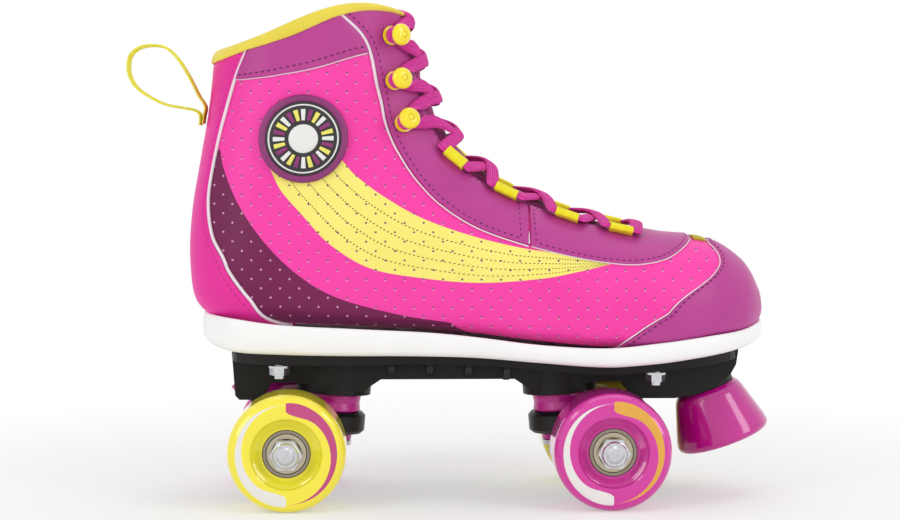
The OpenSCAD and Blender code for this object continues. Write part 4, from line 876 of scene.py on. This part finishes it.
# The collar binding: a soft yellow stretch tape folded over the rim and sewn down outside and inside, full of
# foam so that it stands proud of the panels. Outline points are depth, and height as a share of the tape's drop
# outside, its rise above the rim or its drop inside; drop and rise change round the collar.
BINDING_OUTLINE = [(1.5, 1), (2.2, 1.03), (2.6, 0.95), (2.9, 0.75), (3.1, 0.45), (3.1, 0.1), (2.9, -0.3),
                   (2.2, -0.66), (0.9, -0.92), (-1, -1), (-3, -0.95), (-4.7, -0.72), (-5.9, -0.3),
                   (-6.4, 0.15), (-6.5, 0.45), (-6.4, 0.75), (-6, 0.94), (-5.5, 1), (-5, 0.95), (-4.9, 0.6),
                   (-4.6, 0.2), (-3.6, -0.05), (-1.6, -0.12), (0.2, -0.08), (1.3, 0.15), (1.5, 0.5)]
BINDING_INSIDE = 6.5
BINDING_DROP = [(-90, 1.6), (-60, 1.7), (-36, 2.3), (-20, 4.2), (0, 6.2), (20, 4.4), (40, 2.7), (60, 1.6),
                (73, 1.4)]
BINDING_RISE = [(-90, 4.8), (-60, 4), (-36, 2.8), (-20, 1.6), (0, 0.9), (20, 0.9), (73, 1.3)]


def step_length(u, turn):
    """Length of one section along the upper."""
    return (skin(u + 0.1, turn) - skin(u - 0.1, turn)).length / 0.2


def binding_place(a, b):
    psi = mix(throat(COLLAR), -180 - throat(COLLAR), b)
    turn = turn_at(COLLAR, psi)
    side = max(psi, -180 - psi)
    d, share = BINDING_OUTLINE[round(a * len(BINDING_OUTLINE)) % len(BINDING_OUTLINE)]
    drop = curve(BINDING_DROP, side) if d > 0 else BINDING_INSIDE
    below = share * (drop if share > 0 else curve(BINDING_RISE, side))
    return skin(COLLAR - below / step_length(COLLAR - 0.2, turn), turn, d)


binding = closed_piece("collar_binding_tape", len(BINDING_OUTLINE), 110, binding_place, 60)
binding_finish = surface("binding_tape", (224, 202, 48), (248, 228, 82), 0.62, (knit, 520.0), (0.12, 0.5),
                         look={"Sheen Weight": 0.25})
sew(binding, binding_finish, "yellow_webbing", "collar_binding")


# The tongue: padded purple cloth under the lacing, from the toes to just above the collar, crowned in the
# middle and sewn down at its front end.
TONGUE_TOP = 15.8
TONGUE_THICK = 4.0
TONGUE_UNDER = 13
TONGUE_CLEAR = 2
TONGUE_SINK = 6.9
TONGUE_CROWN = [(4.5, 6.6), (5.2, 7.4), (6.2, 7.4), (7, 6.9), (8.4, 7.3), (9.6, 7.5), (15.8, 7.5)]
PUFFS = 13
PUFF_HIGH = 0.35


def tongue_place(a, b, sink=0.0):
    u = mix(THROAT_LOW, TONGUE_TOP, b)
    edge = throat(u) - TONGUE_UNDER
    turn = mix(turn_at(u, edge), turn_at(u, 180 - edge), a)
    off = abs(degrees(bend(u, turn, back=True)) - 90) / (90 - TONGUE_CLEAR - throat(u))
    puff = PUFF_HIGH * cos(tau * b * PUFFS) * (1 - min(1.0, off) ** 2)
    return skin(u, turn, curve(TONGUE_CROWN, u) * max(0.0, 1 - off ** 3) - TONGUE_SINK + puff - sink)


tongue = thicken(laid("tongue_pad", 32, 156, tongue_place)[0], TONGUE_THICK, 1.3)
tongue_finish = surface("tongue_cloth", (138, 36, 102), (190, 72, 150), 0.85, (knit, 360.0), (0.25, 0.6),
                        look={"Sheen Weight": 0.3})
sew(tongue, tongue_finish, "lining_fabric", "tongue")


# The piping: white cord let into the heel counter's and the facings' edges, and a thin cream edge on the other
# panels, where the backing shows along the cut.
PIPE_RADIUS = 0.8
CUT_RADIUS = 0.34
LINE_TOP = 15.9
SEAM_RUN = (29, 37)
PIPE_THINS = 0.35
THIN_RUN = 0.4


def outward(u, turn, d=0.0):
    """Direction straight out of the upper."""
    e = 0.01
    up = skin(u + e, turn, d) - skin(u - e, turn, d)
    n = up.cross(skin(u, turn + e, d) - skin(u, turn - e, d)).normalized()
    return n if n.dot(skin(u, turn, d + 1) - skin(u, turn, d)) > 0 else -n


def upright(up, run):
    """Directions along a run, to its side and up from it."""
    ahead = run.normalized()
    up = (up - ahead * up.dot(ahead)).normalized()
    return ahead, up.cross(ahead), up


def swept(name, spine, ups, outline):
    """Closed sweep along a spine; outline(k) gives (sideways, up) points round spine point k."""
    sides, rows = len(outline(0)), len(spine) - 1
    rings = []
    for k, middle in enumerate(spine):
        _, side, up = upright(ups[k], spine[min(k + 1, rows)] - spine[max(k - 1, 0)])
        rings.append([middle + side * x + up * z for x, z in outline(k)])
    return closed_piece(name, sides, rows, lambda a, b: rings[round(b * rows)][round(a * sides) % sides], 60)


def ring(sides):
    """Cosine and sine of even steps round a circle."""
    turns = [tau * j / sides for j in range(sides)]
    return [(cos(t), sin(t)) for t in turns]


def piping(name, edge, count, d, radius):
    """Piping along edge(t), t from 0 to 1; radius(t) in millimetres."""
    places = [edge(k / count) for k in range(count + 1)]
    return swept(name, [skin(*q, d) for q in places], [outward(*q, d) for q in places],
                 lambda k: [(radius(k / count) * c, radius(k / count) * s) for c, s in ring(10)])


def beside(edge, off, low):
    """Line from the collar down to section low, off degrees beside an edge."""
    def line(t):
        u = mix(LINE_TOP, low, t)
        return u, turn_at(u, edge(u) + off)
    return line


def toe_line(t):
    turn = mix(-0.4, 1.4, t) * pi
    return toe_edge(turn) + 0.015, turn


def collar_line(t):
    return collar_where(-0.01, mix(0.01, 0.99, t))


def seam_line(t):
    u = STAY_LOW - 0.01
    return u, turn_at(u, mix(*SEAM_RUN, t))


def stay_radius(t):
    return mix(PIPE_RADIUS, CUT_RADIUS, clamp((t - PIPE_THINS) / THIN_RUN))


piping_finish = surface("piping_cord", (232, 214, 226), (248, 240, 244), 0.5, (moulded, 2400.0), (0.1, 0.4))
for side, way in SIDES:
    for label, line, count, d, radius in (
            ("heel", beside(heel_edge, 1.0, 9.25), 150, 0.75, lambda t: PIPE_RADIUS),
            ("facing", beside(stay_edge, -0.8, STAY_LOW), 170, 0.75, stay_radius),
            ("collar", collar_line, 70, 0.5, lambda t: CUT_RADIUS),
            ("seam", seam_line, 16, 1.5, lambda t: CUT_RADIUS * (1 - 0.7 * t))):
        sew(piping(f"piping_{label}_{side}", way(line), count, d, radius), piping_finish, "lace_fabric")
for label, line, count in (("overlay", lambda t: overlay_where(-0.006, t), 180), ("toe", toe_line, 200)):
    sew(piping("piping_" + label, line, count, 0.45, lambda t: CUT_RADIUS), piping_finish, "lace_fabric")


# The stitching: plum thread darkened with painted shade, in even stitches just inside the edges of the purple
# panels, two rows where the facing meets the overlay, and a pink row round the heel counter.
STITCH_PITCH = 3.0
STITCH_SIZE = (0.72, 0.42, 1.75)
STITCH_INSET = 1.9
ROW_SHARES = (0.015, 0.985)
STITCH_OUT = OVERLAY_HIGH + 0.42
SEAM_ENDS = (0.08, 0.93)


def refill(piece, name, points, faces):
    """Gives a primitive another mesh, with its faces turned outwards."""
    piece.data.clear_geometry()
    piece.data.from_pydata([point * MM for point in points], [], faces)
    piece.name = piece.data.name = name
    clean(merge=False)


def stitches(name, lines, d):
    """One mesh of small rounded stitches laid along lines of u and turn."""
    stitch = primitive(bpy.ops.mesh.primitive_uv_sphere_add, segments=6, ring_count=5, radius=0.5)
    shape = [point.co * Vector(STITCH_SIZE) for point in stitch.data.vertices]
    shape_faces = [list(face.vertices) for face in stitch.data.polygons]
    points, faces = [], []
    for line in lines:
        spine = [skin(*q, d) for q in line]
        due = STITCH_PITCH / 2
        for k in range(len(spine) - 1):
            run = spine[k + 1] - spine[k]
            while due <= run.length:
                ahead, side, up = upright(outward(*line[k], d), run)
                middle = spine[k] + ahead * due
                faces += [[len(points) + i for i in face] for face in shape_faces]
                points += [middle + ahead * p.z + side * p.x + up * p.y for p in shape]
                due += STITCH_PITCH
            due -= run.length
    refill(stitch, name, points, faces)
    return smooth(stitch, 180)


def edge_row(where, from_end, count=120, inset=STITCH_INSET, shares=ROW_SHARES):
    """Line just inside one of a panel's long edges."""
    row = []
    for k in range(count + 1):
        b = mix(*shares, k / count)
        a = min(0.5, inset / run_length(lambda t: where(t, b), 12))
        row.append(where(1 - a if from_end else a, b))
    return row


def both_sides(line):
    return [line, [(u, pi - turn) for u, turn in line]]


def toe_row(k):
    turn = mix(-0.36, 1.36, k / 160) * pi
    return toe_edge(turn) - STITCH_INSET / step_length(3.5, turn), turn


def thread(name, low, high, rough=0.7, grain=3000.0):
    return surface(name, low, high, rough, (moulded, grain), by="Height")


purple_rows = both_sides(edge_row(stay_where, False)) + both_sides(edge_row(stay_where, True))
purple_rows += [edge_row(overlay_where, False, 160), edge_row(overlay_where, True, 160)]
purple_rows += both_sides(edge_row(lambda a, b: stay_where(b, a), False, 30, 2.2, SEAM_ENDS))
purple_rows += both_sides([collar_where(0.13, mix(0.03, 0.97, k / 60)) for k in range(61)])
purple_rows += [[toe_row(k) for k in range(161)]]
for end in (0.012, 0.988):
    purple_rows.append([overlay_where(mix(*SEAM_ENDS, k / 30), end) for k in range(31)])
# The thread's dark tones are painted shade; the thread itself is close to the panels' purple.
sew(stitches("stitching_plum", purple_rows, STITCH_OUT), thread("plum_thread_painted_shade", (80, 14, 62), (112, 32, 90)),
    "lace_fabric")
heel_rows = [edge_row(heel_where, False), edge_row(heel_where, True)]
sew(stitches("stitching_pink", heel_rows, STITCH_OUT - 0.02),
    thread("pink_thread", (178, 34, 116), (206, 52, 140)), "lace_fabric")


# The bar tacks: a few close rows of dark olive thread that stop the throat's front end from tearing.
TACK_MIDDLE = (88.6, 123.0)
TACK_LONG = 6.6
TACK_SLOPE = 0.26
TACK_ROWS = (-0.9, -0.3, 0.3, 0.9)


def tack_row(off):
    x, z = TACK_MIDDLE
    steps = [TACK_LONG * (k / 12 - 0.5) for k in range(13)]
    return [find(x + step, z + off - TACK_SLOPE * step) for step in steps]


tack_rows = [line for off in TACK_ROWS for line in both_sides(tack_row(off))]
sew(stitches("bar_tacks_olive", tack_rows, STITCH_OUT),
    thread("olive_thread", (64, 44, 30), (112, 88, 52), 0.75, 2600.0), "lace_fabric")


# The badge: a soft moulded rubber disc on the outer ankle with a raised purple rim. Its black field carries a
# plain ring, a burst of short bars and a low dome, all generic, moulded in one and coloured by hand.
BADGE_MIDDLE = (-68.3, 169.7)
BADGE_RIM = [(16.9, 0.1), (20, 0.1), (20.2, 0.8), (20.1, 1.5), (19.7, 2.05), (19, 2.35), (18.2, 2.35),
             (17.5, 2.05), (17.1, 1.5), (16.9, 0.1)]
BADGE_FIELD = [(17.3, 0.1), (17.3, 1.2), (17, 1.35), (12, 1.4), (6, 1.4), (3, 1.4), (0, 1.4)]
BADGE_RING = [(15.2, 1.2), (15.9, 1.2), (15.9, 1.65), (15.75, 1.8), (15.35, 1.8), (15.2, 1.65), (15.2, 1.2)]
BADGE_DOME = [(6.6, 1.2), (6.6, 1.6), (6.2, 1.95), (4.5, 2.3), (2.4, 2.5), (0, 2.55)]
BADGE_AROUND = 96
BARS = 24
BAR_ENDS = ((8.4, 0.75), (13.6, 1.1))
BAR_DEPTHS = (1.2, 1.95)
CUBE_FACES = ((0, 1, 2, 3), (4, 5, 6, 7), (0, 1, 5, 4), (1, 2, 6, 5), (2, 3, 7, 6), (3, 0, 4, 7))


def badge_point(radius, angle, d):
    x, z = BADGE_MIDDLE
    return skin(*find(x + radius * cos(angle), z + radius * sin(angle)), d)


def badge_turned(name, outline):
    """Ring or disc turned round the badge's middle from an outline of radius and height."""
    last = len(outline) - 1

    def place(a, b):
        radius, d = outline[round(b * last)]
        return badge_point(radius, tau * (round(a * BADGE_AROUND) % BADGE_AROUND) / BADGE_AROUND, d)

    return closed_piece(name, BADGE_AROUND, last, place, 50)


def badge_bars(name, first):
    """Short bars that point to the middle, every third one from first on."""
    (inner, inner_half), (outer, outer_half) = BAR_ENDS
    corners = ((inner, -inner_half), (outer, -outer_half), (outer, outer_half), (inner, inner_half))
    points, faces = [], []
    for bar in range(first, BARS, 3):
        angle = tau * bar / BARS
        faces += [[len(points) + i for i in face] for face in CUBE_FACES]
        points += [badge_point(radius, angle + half / radius, d)
                   for d in BAR_DEPTHS for radius, half in corners]
    piece = primitive(bpy.ops.mesh.primitive_cube_add, size=MM)
    refill(piece, name, points, faces)
    bevel(piece, 0.25, 40)
    return smooth(piece)


def rubber_finish(name, low, high, rough=(0.42, 0.58)):
    return surface(name, low, high, rough, (moulded, 1600.0), (0.08, 0.35))


badge_black = rubber_finish("badge_black", (34, 31, 33), (48, 45, 47))
badge_purple = rubber_finish("badge_purple", (120, 34, 96), (150, 52, 122), (0.37, 0.53))
badge_white = rubber_finish("badge_white", (228, 228, 226), (242, 242, 240))
badge_yellow = rubber_finish("badge_yellow", (232, 222, 96), (246, 238, 120))
sew(badge_turned("badge_field", BADGE_FIELD), badge_black, "badge_rubber", "badge")
for label, outline, finish in (("rim", BADGE_RIM, badge_purple), ("ring", BADGE_RING, badge_white),
                               ("dome", BADGE_DOME, badge_white)):
    sew(badge_turned("badge_" + label, outline), finish, "badge_rubber")
for first, finish in enumerate((badge_white, badge_yellow, badge_purple)):
    sew(badge_bars(f"badge_bars_{first}", first), finish, "badge_rubber")


# The pull loop: thin yellow webbing at the back of the collar, its ends sewn to the heel counter one over the
# other, standing out in an open loop for a finger or a hook.
PULL_LOOP = [(-118.3, 181.8), (-121.2, 183.5), (-125.5, 184.3), (-134, 186), (-141.2, 189.3), (-147.6, 193.9),
             (-150.7, 198.9), (-151.5, 203.9), (-150.3, 209.2), (-146, 212.7), (-139.8, 213.7), (-133.5, 212.4),
             (-127.9, 207), (-122.8, 198.8), (-118.6, 190.4)]
STRAP_UNDER = 3.9
STRAP_OVER = 5.5
STRAP_WIDE = 13.0
STRAP_THICK = 1.3
WIDE_POWER = 0.7
THICK_POWER = 0.45
SPINE_STEPS = 8


def flat_outline(width, thick, ribs, depth, sides=44):
    """Flat rounded outline with lengthwise ribs on both faces."""
    found = []
    for c, s in ring(sides):
        x = power_of(c, WIDE_POWER) * width / 2
        z = power_of(s, THICK_POWER) * thick / 2
        groove = 0.5 - 0.5 * cos(tau * ribs * (x / width + 0.5))
        found.append((x, z - copysign(depth, s) * groove))
    return found


def steps_along(rows):
    return [along(rows, k / SPINE_STEPS) for k in range(SPINE_STEPS * (len(rows) - 1) + 1)]


def sewn_at(u, d):
    p = skin(u, -pi / 2, d)
    return p.x, p.z


strap_rows = [sewn_at(14.8, STRAP_OVER), sewn_at(14.9, STRAP_OVER), *PULL_LOOP, sewn_at(15.15, STRAP_UNDER),
              sewn_at(14.97, STRAP_UNDER), sewn_at(14.8, STRAP_UNDER)]
strap_spine = [Vector((x, 0, z)) for x, z in steps_along(strap_rows)]
strap_runs = [b - a for a, b in zip(strap_spine[:1] + strap_spine, strap_spine[1:] + strap_spine[-1:])]
strap = swept("pull_loop_webbing", strap_spine, [Vector((-run.z, 0, run.x)) for run in strap_runs],
              lambda k: flat_outline(STRAP_WIDE, STRAP_THICK, 7, 0.12))

# Woven band: crossed threads along and across, read from the piece's own map.
weave, place, around, length = shared_group("woven_band", "Around", "Length")
across, down = own_map(weave)
around, down = across * around, down * length
crossed = reckon("SINE", around + down) * reckon("SINE", around - down) * 0.5 + 0.5
give(weave, Height=crossed, Tone=noise(weave, place, 260.0) * 0.6 + crossed * 0.4)


def woven_finish(name, low, high, threads, length, pitch, depth=0.2):
    """Woven band: threads round its outline and one thread each pitch millimetres of its length."""
    return surface(name, low, high, 0.75, (weave, pi * threads, pi * length / pitch), (depth, 0.7),
                   look={"Sheen Weight": 0.06, "Specular IOR Level": 0.2})


strap_finish = woven_finish("yellow_webbing", (242, 238, 60), (255, 252, 100), 40, path_length(strap_spine),
                            0.9)
sew(strap, strap_finish, "yellow_webbing", "pull_loop")


# The lace loops: eight short yellow webbing tabs folded over the lace, four down each facing, each drawn
# together below into a leg that is sewn to the facing's edge.
LOOPS = [(8.06, 58.5), (6.65, 59.5), (5.52, 60), (4.67, 62)]
LOOP_OFF = 4.8
LOOP_LEAN = 20.0
LOOP_PULL_IN = 4.5
LOOP_PULL_OFF = 0.9
LOOP_LENGTH = 11.0
LOOP_FOOT = 1.6
LOOP_PAST = 1.4
LOOP_WALL = 0.7
LEG_FROM = 0.9
LEG_RUN = 0.08
LOOP_STEPS = 40
LACE_WIDE = 6.2
LACE_THICK = 1.8
LOOP_WIDE = LACE_WIDE + 1.9
LOOP_THICK = LACE_THICK + 1.7


def frame_at(u, turn, d):
    """Origin on the upper with the ways towards the collar, across and outwards."""
    out_way = outward(u, turn)
    up = (skin(u + 0.05, turn) - skin(u - 0.05, turn)).normalized()
    return skin(u, turn, d), up, out_way.cross(up), out_way


def side_turn(u, psi, inner):
    return pi - turn_at(u, psi) if inner else turn_at(u, psi)


def loop_frame(k, inner):
    """Frame of a loop's middle, turned to lie flatter than the facing, and the way to its foot."""
    u, psi = LOOPS[k]
    turn = side_turn(u, psi + LOOP_PULL_IN * inner, inner)
    middle, up, across, out_way = frame_at(u, turn, LOOP_OFF + LOOP_PULL_OFF * inner)
    lean = radians(LOOP_LEAN if inner else -LOOP_LEAN)
    return (middle, up, across * cos(lean) - out_way * sin(lean),
            out_way * cos(lean) + across * sin(lean), skin(u, turn, LOOP_FOOT) - middle)


def tab(name, k, inner):
    """Short flat tube round a loop's frame, drawn out below into the leg by which it is sewn on."""
    middle, up, across, out_way, foot = loop_frame(k, inner)
    leg = foot + out_way * LOOP_THICK / 2
    rows = ((-1, 0), (-0.94, 0), (0.94, 0), (1, 0), (1, 1), (0.9, 1), (-0.9, 1), (-1, 1), (-1, 0))

    def place(a, b):
        c, s = ring(LOOP_STEPS)[round(a * LOOP_STEPS) % LOOP_STEPS]
        end, shrink = rows[round(b * (len(rows) - 1))]
        x, z = LOOP_WIDE / 2 - shrink * LOOP_WALL, LOOP_THICK / 2 - shrink * LOOP_WALL
        drawn = (1 - shrink) * clamp((-s - LEG_FROM) / LEG_RUN)
        return (middle + up * end * LOOP_LENGTH / 2 + across * power_of(c, 0.75) * x
                + out_way * power_of(s, 0.6) * z + leg * drawn)

    return closed_piece(name, LOOP_STEPS, len(rows) - 1, place, 45, 0.2)


tab_finish = woven_finish("yellow_tab", (238, 218, 20), (255, 248, 56), 46, LOOP_LENGTH, 0.7, 0.15)
for k in range(len(LOOPS)):
    for label, inner in (("lateral", False), ("medial", True)):
        sew(tab(f"lace_loop_{label}_{k}", k, inner), tab_finish, "yellow_webbing",
            *(["lace_loops"] if k == 0 else []))


# The hooks: pressed steel under yellow enamel, a base disc, a neck and a domed cap over the lace's channel,
# held by a rivet through the facing. The CAD's own shapes stay.
dress(["hooks", "hook_rivets"],
      surface("yellow_enamel", (248, 222, 4), (255, 236, 24), (0.18, 0.3), (moulded, 700.0), (0.04, 0.2),
              look={"Coat Weight": 0.5, "Coat Roughness": 0.08}))


# The lace: one flat braided magenta lace, both ends hanging down inside the collar. It crosses from side to
# side through the eight loops and behind the six hooks, the strand from the outer side lying on top. Its route
# is given as section, angle, depth and roll, and round a hook as shares of the turn's radius.
HOOKS = [(14.54, 53), (12.51, 51), (10.23, 49.5)]
HOOK_BASE = 2.9
HOOK_NECK = 3.8
HOOK_RADIUS = (HOOK_NECK + LACE_THICK) / 2 + 0.3
HOOK_TURN = ((-1.1, -0.6, -1, 0), (-0.8, 0.6, -0.8, 0.6), (0, 1, 0, 1), (0.8, 0.6, 0.8, 0.6), (1.1, -0.6, 1, 0))
CHANNEL = 4.4
CROSS_OFF = [(4.36, 2.4), (5, 2), (5.9, 2.4), (7.05, 4.1), (8.2, 5.1), (9.8, 5.2), (12.8, 3.6)]
CROSS_RISE = 1.9
EDGE_OFF = 4.6
LOOP_CROSSINGS = ((3, 5), (2, 5.86), (1, 7.05), (0, 8.2))
HOOK_CROSSINGS = ((2, 10.1, 9.8, 11), (1, 12.7, 12.8, 13.5))
LACE_FRONT = (4.36, 90, 4.2)
LACE_START = (4.38, 76, 4.4, 0)
HOOK_APPROACH = 9.2
LACE_ENDS = ((15.4, 75, 4.4, 10), (16, 78, 3.2, 45), (16.35, 80, -3, 95), (15.9, 83, -11, 150),
             (14.8, 84, -14, 180))
LACE_RIBS = 6


def on_boot(u, psi, d, roll=0, inner=False):
    """Row of the lace's route: a point and the way that its flat side faces."""
    middle, up, _, out_way = frame_at(u, side_turn(u, psi, inner), d)
    return *middle, *(out_way * cos(radians(roll)) + up * sin(radians(roll)))


def through_loop(k, inner):
    middle, up, _, out_way, _ = loop_frame(k, inner)
    return [(*(middle + up * t * (LOOP_LENGTH / 2 + LOOP_PAST)), *out_way) for t in (-1, -0.75, 0.75, 1)]


def round_hook(k, inner):
    """Turn round a hook's neck, with the lace on its edge."""
    u, psi = HOOKS[k]
    middle, up, across, out_way = frame_at(u, side_turn(u, psi, inner), HOOK_BASE)
    back = -across if inner else across
    return [(*(middle + (up * a + back * b) * HOOK_RADIUS + out_way * CHANNEL), *(up * c + back * d))
            for a, b, c, d in HOOK_TURN]


def crossing(u, inner):
    return [on_boot(u, 90, curve(CROSS_OFF, u) + (0 if inner else CROSS_RISE))]


def over_edge(u, inner):
    return [on_boot(u, throat(u), EDGE_OFF, 0, inner)]


def half_lace(swap):
    """Route of one half from the toes up."""
    route = [on_boot(*LACE_START, swap)]
    for k, u in LOOP_CROSSINGS:
        here = swap if k % 2 else not swap
        route += through_loop(k, here) + crossing(u, here)
    route += over_edge(HOOK_APPROACH, swap)
    for k, before, u, after in HOOK_CROSSINGS:
        here = swap if k == 2 else not swap
        route += round_hook(k, here) + over_edge(before, here) + crossing(u, here) + over_edge(after, not here)
    return route + round_hook(0, swap) + [on_boot(*row, swap) for row in LACE_ENDS]


lace_rows = steps_along(half_lace(False)[::-1] + [on_boot(*LACE_FRONT)] + half_lace(True))
lace_spine = [Vector(row[:3]) for row in lace_rows]
lace_outline = flat_outline(LACE_WIDE, LACE_THICK, LACE_RIBS, 0.32, 60)
lace = swept("lace_braid", lace_spine, [Vector(row[3:]) for row in lace_rows], lambda k: lace_outline)
lace_length = path_length(lace_spine) * MM
lace_finish = woven_finish("magenta_lace", (236, 44, 164), (255, 88, 196), 36, lace_length / MM, 1.3, 0.3)
# Painted shade: the lace is darkened in the grooves between its ribs.
across, down = own_map(lace_finish.node_tree)
turned = reckon("COSINE", across * tau)
across = reckon("SIGN", turned) * reckon("POWER", reckon("ABSOLUTE", turned), WIDE_POWER)
ridge = reckon("COSINE", across * (LACE_RIBS * pi))
blend_over(lace_finish, (120, 10, 82), ridge * -0.3 + 0.24)
sew(lace, lace_finish, "lace_fabric", "lace")


# The plate: black nylon moulded in one with its truck seats, ribs and toe-stop boss, satin from the mould, held
# to the sole by four zinc-plated screws. The hangers are powder-coated. The CAD's shapes stay from here down.
def satin_finish(name, low, high, rough, grain, specular):
    return surface(name, low, high, rough, (moulded, grain), (0.06, 0.35),
                   look={"Specular IOR Level": specular})


dress(["plate"], satin_finish("plate_nylon", (15, 13, 12), (24, 21, 20), (0.36, 0.54), 1100.0, 0.25))
dress(["hanger_front", "hanger_rear"],
      satin_finish("hanger_coat", (15, 14, 14), (24, 22, 22), (0.3, 0.48), 1500.0, 0.3))


# The steel: zinc-plated screws, nuts, washers, kingpins, axles and bearing rings, bright with a slight cloud in
# the plating.
steel_finish = surface("zinc_steel", (182, 184, 188), (226, 228, 230), (0.16, 0.38), (moulded, 500.0),
                       (0.03, 0.3), "Height", {"Metallic": 1.0})
dress(["mount_screws", "mount_washers", "mount_nuts", "kingpins", "kingpin_nuts", "cushion_washers",
       "toe_stop_bolt", "toe_stop_nut"], steel_finish)
for end in ("front", "rear"):
    dress([part + end for part in ("axle_", "axle_nuts_", "axle_washers_", "bearing_inner_rings_",
                                   "bearing_balls_", "bearing_spacers_")], steel_finish)


# The cushions and the toe stop: cast magenta urethane, the cushions satin between their washers, the stop
# polished by its mould.
def urethane_finish(name, low, high, rough, coat):
    return surface(name, low, high, rough, (moulded, 260.0), (0.02, 0.25),
                   look={"Coat Weight": coat, "Coat Roughness": 0.06})


dress(["cushion_upper_front", "cushion_upper_rear", "cushion_lower_front", "cushion_lower_rear", "pivot_cups"],
      urethane_finish("cushion_urethane", (190, 22, 138), (212, 40, 160), (0.24, 0.38), 0.2))
dress(["toe_stop"], urethane_finish("stop_urethane", (186, 4, 132), (210, 18, 156), (0.1, 0.24), 0.6))


# The wheels: cast urethane, glossy, yellow and magenta in turn, each with two printed sweeps on its outer face
# that taper half way round it. The bearings sit in the hubs behind bronze-grey shields.
WHEEL_RADIUS = 27.0
AXLE_HEIGHT = 27.0
AXLE_X = {"front": 72.8, "rear": -75.8}
HUB_EDGE = (0.57, 0.64)
HUB_CLOUD = 0.02
BAND_SOFT = 0.08
SWEEP_MIDDLE = [(0, 0.8), (0.035, 0.782), (0.25, 0.795), (0.5, 0.8), (0.75, 0.825), (0.96, 0.84), (1, 0.84)]
SWEEP_HALF = [(0, 0.07), (0.035, 0.1), (0.25, 0.08), (0.5, 0.055), (0.75, 0.029), (0.95, 0.002), (1, 0)]
SWEEP_EDGE = 0.006
SWEEP_FACE = 43.0
SWEEP_WHITE = (238, 236, 232)
BEARING_BANDS = (((150, 140, 124), 10.1, 0.75), ((34, 30, 28), 11.2, 0.5), ((34, 30, 28), 9.2, 0.2),
                 ((44, 38, 34), 6.7, 0.2))
YELLOW_WHEEL = ((240, 228, 2), (252, 238, 56), (196, 58, 124))
MAGENTA_WHEEL = ((200, 6, 142), (216, 40, 160), (232, 170, 50))


def float_curve(value, points):
    """Wire of a Float Curve through points."""
    made = node(value.socket.id_data, "FloatCurve", {"Value": value})
    line = made.mapping.curves[0]
    line.points[0].location = points[0]
    line.points[1].location = points[-1]
    for point in points[1:-1]:
        line.points.new(*point)
    made.mapping.update()
    return out(made)


def hub_axes(tree, end):
    """Wires of a point's x and z from the wheel's axle, of its y, and of its radius, in millimetres."""
    place = out(node(tree, "TexCoord"), "Object")
    moved = node(tree, "VectorMath", {0: place, 1: (1 / MM,) * 3, 2: (-AXLE_X[end], 0, -AXLE_HEIGHT)},
                 operation="MULTIPLY_ADD")
    x, y, z = (Wire(socket) for socket in node(tree, "SeparateXYZ", {0: out(moved)}).outputs)
    return x, y, z, far(x, z)


def wheel_finish(name, end, side, inner, outer, sweep):
    """Urethane that lightens from hub to tread, with a coloured sweep and a white one on the outer face."""
    finish = surface(name, inner, inner, (0.1, 0.22), (moulded, 240.0), (0.02, 0.2),
                     look={"Coat Weight": 0.6, "Coat Roughness": 0.05})
    x, y, z, radius = hub_axes(finish.node_tree, end)
    share = radius / WHEEL_RADIUS
    cloud = out(finish.node_tree.nodes["Group"], "Tone") * HUB_CLOUD
    blend_over(finish, outer, ramp(cloud + share, *HUB_EDGE))
    turn = reckon("ARCTAN2", x * -side, z) / pi
    second = reckon("LESS_THAN", turn, 0.0)
    turn = turn + second
    off = reckon("ABSOLUTE", share - float_curve(turn, SWEEP_MIDDLE))
    mask = ramp(float_curve(turn, SWEEP_HALF) - off, -SWEEP_EDGE, SWEEP_EDGE)
    mask = mask * reckon("GREATER_THAN", y * side, SWEEP_FACE)
    blend_over(finish, sweep, mask * reckon("SUBTRACT", 1.0, second))
    blend_over(finish, SWEEP_WHITE, mask * second)
    return finish


def bearing_finish(name, end):
    """Steel rings with a bronze-grey shield between dark grooves."""
    finish = surface(name, (176, 166, 142), (204, 194, 170), 0.32, (moulded, 900.0), (0.03, 0.3),
                     look={"Metallic": 0.9})
    radius = hub_axes(finish.node_tree, end)[3]
    for colour, middle, half in BEARING_BANDS:
        off = reckon("ABSOLUTE", radius - middle)
        blend_over(finish, colour, ramp(off, half + BAND_SOFT, half - BAND_SOFT))
    return finish


for end, lateral, medial in (("rear", YELLOW_WHEEL, MAGENTA_WHEEL), ("front", MAGENTA_WHEEL, YELLOW_WHEEL)):
    for label, side, colours in (("lateral", -1, lateral), ("medial", 1, medial)):
        wheel = f"{end}_{label}"
        dress(["wheel_" + wheel], wheel_finish(f"wheel_{wheel}_urethane", end, side, *colours))
        dress(["bearings_" + wheel], bearing_finish(f"bearing_{wheel}_steel", end))


size = {"cad": [list(c) for c in cad_box], "visual": [list(c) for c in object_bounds()]}
